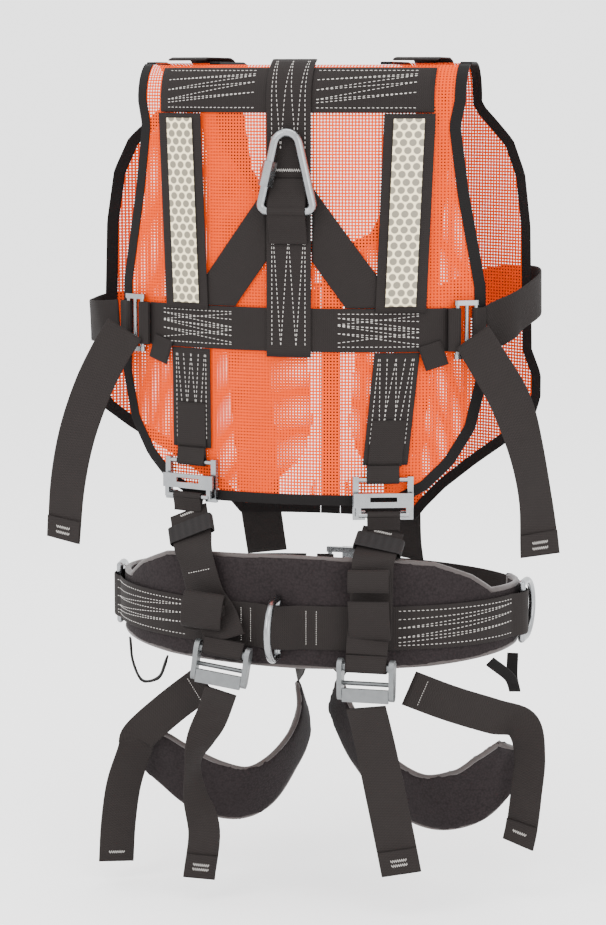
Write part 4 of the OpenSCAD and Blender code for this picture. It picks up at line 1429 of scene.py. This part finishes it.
class HARNESS_OT_belt(bpy.types.Operator):
    """Fill the lumbar pad and lay the belt's webbing over it."""

    bl_idname = "harness.belt"
    bl_label = "Belt"

    def execute(self, context):
        self.pad()
        self.webbing()
        return {"FINISHED"}

    def pad(self):
        angles = steps(-202, 22, 112)

        def edge(a):
            u = abs(a + 90)
            return BELT_Z - lookup(u, PAD_FOOT), BELT_Z + lookup(u, PAD_TOP)

        def grid(d):
            rows = []
            for a in angles:
                low, high = edge(a)
                rows.append([belt_point(a, z, d) for z in steps(low, high, 20)])
            return rows

        points, faces = closed_grid(grid(-2.2), grid(-9.8))
        pad = make_piece("lumbar_cushion", points, faces, material("pad_fabric"))
        outward(pad)
        swell(pad, 2.2)
        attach(pad, "harness")
        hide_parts("lumbar_pad")
        upper = [belt_point(a, edge(a)[1] - 3, -6) for a in angles[1:-1]]
        lower = [belt_point(a, edge(a)[0] + 3, -6) for a in angles[1:-1]]
        edging("lumbar_edging", upper + lower[::-1], "harness", sizes().piping_r)

    def webbing(self):
        w = sizes().web_w
        angles = steps(-258, 78, 240)

        def place(i, u):
            p = belt_point(angles[i], BELT_Z + u, GAP + WEB_HALF + lift(angles[i]))
            return p, (belt_point(angles[i], BELT_Z + u, 100) - p).normalized()

        band = Band(place, len(angles), w + 1)
        y = BELT_HALF_D + GAP + WEB_HALF
        frame_end = loop_band(shift(BELT_X - BAR_UP, y, BELT_Z), BAR_R, 15, w)
        plate_end = loop_band(shift(BELT_X - PLATE_BAR, y + PLATE_OUT, BELT_Z) @ turn(180, "Z"), BAR_R, 15, w)
        web_piece("belt_webbing_band", [band, frame_end, plate_end], "belt_webbing")
        sewing = Sewing()

        def along_belt(a):
            return band.length[min(range(len(angles)), key=lambda i: abs(angles[i] - a))]

        for a0, a1 in ((-168, -122), (-60, -14), (-250, -205), (25, 70)):
            v0, v1 = along_belt(a0), along_belt(a1)
            for u in (-18, 18):
                sewing.run(band, [(u, v0), (u, v1)])
            sewing.run(band, [(-15, v0), (-5, v1), (-10, v0), (5, v1), (0, v0), (14, v1), (9, v0)])
        for a in (REAR_A - 10, REAR_A - 7.6, REAR_A + 7.6, REAR_A + 10.4):
            v = along_belt(a)
            sewing.run(band, [(-18, v), (18, v)], 1, 2.2)
        sewing.finish("belt_stitching", "harness")


# ---- leg loops ----------------------------------------------------------------------------

# Left and right leg loops: points along each piece and the way across it, heights from the belt's middle
PAD_PATH = (
    ((-30, 84, -128), (-22, 58, -154), (-27, 22, -178), (-44, -12, -202), (-66, -38, -210),
     (-95, -56, -201), (-122, -66, -184), (-152, -68, -164), (-170, -66, -152)),
    ((8, 84, -120), (28, 56, -150), (54, 24, -173), (94, 2, -203), (136, -18, -213),
     (178, -30, -199), (208, -30, -171), (228, -26, -142)),
)
PAD_WIDE = (
    ((0, -0.7, 0.7), (0, -0.65, 0.75), (0.1, -0.5, 0.86), (0.1, -0.35, 0.93), (0.1, -0.35, 0.93),
     (0, -0.3, 0.95), (-0.1, -0.3, 0.95), (-0.2, -0.3, 0.93), (-0.3, -0.3, 0.9)),
    ((0.3, -0.6, 0.75), (0.3, -0.6, 0.75), (0.2, -0.5, 0.85), (0.1, -0.35, 0.93), (0, -0.3, 0.95),
     (-0.1, -0.3, 0.95), (-0.35, -0.5, 0.7), (-0.3, -0.8, 0.3)),
)
RISER_PATH = (
    ((-32, 130, -34), (-34, 116, -70), (-33, 94, -112)),
    ((18, 130, -34), (14, 116, -68), (9, 95, -104)),
)
RISER_WIDE = (
    ((1, 0, 0), (0.8, -0.4, 0.3), (0.3, -0.6, 0.65)),
    ((1, 0, 0), (0.8, 0.4, -0.3), (0.1, 0.6, -0.75)),
)
THIGH_PATH = (
    ((-94, -92, -74), (-134, -90, -106), (-168, -90, -138)),
    ((128, -106, -66), (168, -86, -85), (210, -64, -102), (238, -46, -114)),
)
LEG_TAIL_PATH = (
    ((-172, -93, -152), (-186, -90, -192), (-194, -86, -238), (-198, -82, -282)),
    ((247, -48, -146), (244, -50, -186), (240, -50, -222), (236, -50, -243)),
)
LEG_PAD_W = 68.0
LEG_PAD_T = 9.0


def on_belt(points):
    return [(p[0], p[1], p[2] + BELT_Z) for p in points]


class HARNESS_OT_leg_loops(bpy.types.Operator):
    """Fill the leg pads and lay their straps, and hang the gear loops."""

    bl_idname = "harness.leg_loops"
    bl_label = "Leg loops"

    def execute(self, context):
        for i, side in enumerate(("left", "right")):
            self.pad(i, side)
            self.straps(i, side)
        self.gear_loops()
        return {"FINISHED"}

    def pad(self, i, side):
        core = ribbon(on_belt(PAD_PATH[i]), PAD_WIDE[i], LEG_PAD_W, 64)
        cols = steps(-LEG_PAD_W / 2, LEG_PAD_W / 2, 14)

        def grid(d):
            return [[core.place(k, u)[0] + core.place(k, u)[1] * d for u in cols] for k in range(core.rows)]

        points, faces = closed_grid(grid(LEG_PAD_T / 2 - 1.2), grid(-LEG_PAD_T / 2 + 1.2))
        pad = make_piece("leg_cushion_" + side, points, faces, material("pad_fabric"))
        outward(pad)
        swell(pad, 1.4)
        body = "leg_" + side
        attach(pad, body)
        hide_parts("leg_pad_" + side)
        half = LEG_PAD_W / 2 - 2.8
        one = [core.place(k, half)[0] for k in range(1, core.rows - 1)]
        other = [core.place(k, -half)[0] for k in range(1, core.rows - 1)]
        edging("leg_edging_" + side, one + other[::-1], body, sizes().piping_r - 0.5)

    def straps(self, i, side):
        s = SIDES[i]
        w = sizes().web_w
        riser = ribbon(on_belt(RISER_PATH[i]), RISER_WIDE[i], w - 6, 20)
        upper, lower = on_belt(THIGH_PATH[i]), on_belt(LEG_TAIL_PATH[i])
        wide = [(0.5 * s, 0.2, 0.8)] * (len(upper) - 1) + [(0.75 * s, 0.0, 0.5)]
        wide += [(0.9 * s, -0.4, 0)] * len(lower)
        tail = ribbon(upper + lower, wide, sizes().tail_w - 4, 64)
        body = "leg_" + side
        sewing = loose_strap("leg", side, body, "leg_strap_" + side, tail, 24, (11,), others=[riser])
        for face in (1, -1):
            sewing.run(tail, [(-14, 16), (14, 16)], face, 2.6)
        sewing.finish("leg_stitching_" + side, body)

    def gear_loops(self):
        left = [
            belt_point(-133, BELT_Z - 52, -6), (-150, -78, BELT_Z - 76), (-172, -64, BELT_Z - 84),
            (-190, -40, BELT_Z - 70), belt_point(-162, BELT_Z - 44, -6),
        ]
        right = [
            belt_point(-24, BELT_Z - 46, -6), (224, -44, BELT_Z - 64), (228, -30, BELT_Z - 82),
            (223, -16, BELT_Z - 70), belt_point(-4, BELT_Z - 46, -6),
        ]
        ends = ((left, (0.35, -0.9, 0.2)), (right, (0.9, 0.2, 0)))
        bands = [ribbon(path, [wide] * 5, 12, 40, 2.2) for path, wide in ends]
        web_piece("gear_loop_tapes", bands, "gear_loops", "binding_tape")


# ---- metal --------------------------------------------------------------------------------


class HARNESS_OT_metal(bpy.types.Operator):
    """Give the frame's rings, links and buckles their plated and cast finishes."""

    bl_idname = "harness.metal"
    bl_label = "Metal parts"

    def execute(self, context):
        plated = ("ring", "link", "buckle_frame", "buckle_plate", "mid_", "adjuster", "zip_s")
        steel, cast = material("zinc_steel"), material("cast_alloy")
        for name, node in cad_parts.items():
            finish = steel if any(word in name for word in plated) else None
            if name.startswith(("lower_buckle", "buckle_lever")):
                finish = cast
            if finish:
                node.data.materials.clear()
                node.data.materials.append(finish)
        return {"FINISHED"}


# ---- stage --------------------------------------------------------------------------------


FLOOR_R = 60.0
CAMERA_AT = (0.5778, -2.573, -0.0143)
CAMERA_DOWN, CAMERA_ROUND = 6.754, 12.843


class HARNESS_OT_stage(bpy.types.Operator):
    """Set up the studio: pale floor, soft lights and the camera."""

    bl_idname = "harness.stage"
    bl_label = "Stage"

    def execute(self, context):
        self.backdrop()
        self.lights()
        self.camera()
        return {"FINISHED"}

    def backdrop(self):
        floor_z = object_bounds()[0].z - 0.02
        angles = [2 * math.pi * k / 48 for k in range(48)]
        points = [Vector((FLOOR_R * math.cos(a), FLOOR_R * math.sin(a), floor_z)) / MM for a in angles]
        floor = make_piece("studio_floor", points, [tuple(range(48))], material("studio"))
        floor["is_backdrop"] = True

    def lights(self):
        aim = Vector((0.0, 0.0, -0.4))
        for name, spot, power, size in (
            ("key_light", (-1.8, -2.6, 1.4), 60, 1.8),
            ("fill_light", (2.2, -2.2, 0.4), 45, 2.2),
            ("top_light", (0.0, -0.4, 2.2), 45, 2.0),
        ):
            lamp = bpy.data.lights.new(name, "AREA")
            lamp.energy = power
            lamp.size = size
            obj = bpy.data.objects.new(name, lamp)
            obj.location = spot
            obj.rotation_euler = (aim - Vector(spot)).to_track_quat("-Z", "Y").to_euler()
            bpy.context.scene.collection.objects.link(obj)
        world = bpy.data.worlds.new("studio_air")
        world.use_nodes = True
        sky = world.node_tree.nodes["Background"]
        sky.inputs[0].default_value = (1, 1, 1, 1)
        sky.inputs[1].default_value = SKY
        bpy.context.scene.world = world

    def camera(self):
        lens = bpy.data.cameras.new("camera")
        lens.lens = 96.16
        obj = bpy.data.objects.new("camera", lens)
        obj.location = CAMERA_AT
        obj.rotation_euler = (math.radians(90 - CAMERA_DOWN), 0, math.radians(CAMERA_ROUND))
        lens.shift_y = -0.1
        bpy.context.scene.collection.objects.link(obj)
        bpy.context.scene.camera = obj


# ---- add-on -------------------------------------------------------------------------------


class HARNESS_PT_panel(bpy.types.Panel):
    """The harness's pieces in the order in which they are made."""

    bl_idname = "HARNESS_PT_panel"
    bl_label = "Safety harness"
    bl_space_type = "VIEW_3D"
    bl_region_type = "UI"
    bl_category = "Harness"

    def draw(self, context):
        for kind in OPERATORS:
            self.layout.operator(kind.bl_idname)
        for group in (context.scene.harness_sizes, context.scene.harness_colours):
            for key in group.__annotations__:
                self.layout.prop(group, key)


OPERATORS = (
    HARNESS_OT_vest_mesh,
    HARNESS_OT_vest_binding,
    HARNESS_OT_back_straps,
    HARNESS_OT_front_straps,
    HARNESS_OT_side_straps,
    HARNESS_OT_lower_straps,
    HARNESS_OT_belt,
    HARNESS_OT_leg_loops,
    HARNESS_OT_metal,
    HARNESS_OT_stage,
)
CLASSES = (HarnessSizes, HarnessColours, *OPERATORS, HARNESS_PT_panel)


def register():
    for kind in CLASSES:
        bpy.utils.register_class(kind)
    bpy.types.Scene.harness_sizes = bpy.props.PointerProperty(type=HarnessSizes)
    bpy.types.Scene.harness_colours = bpy.props.PointerProperty(type=HarnessColours)


def unregister():
    del bpy.types.Scene.harness_colours
    del bpy.types.Scene.harness_sizes
    for kind in reversed(CLASSES):
        bpy.utils.unregister_class(kind)


def main():
    register()
    for kind in OPERATORS:
        group, name = kind.bl_idname.split(".")
        getattr(getattr(bpy.ops, group), name)()


if __name__ == "__main__":
    main()
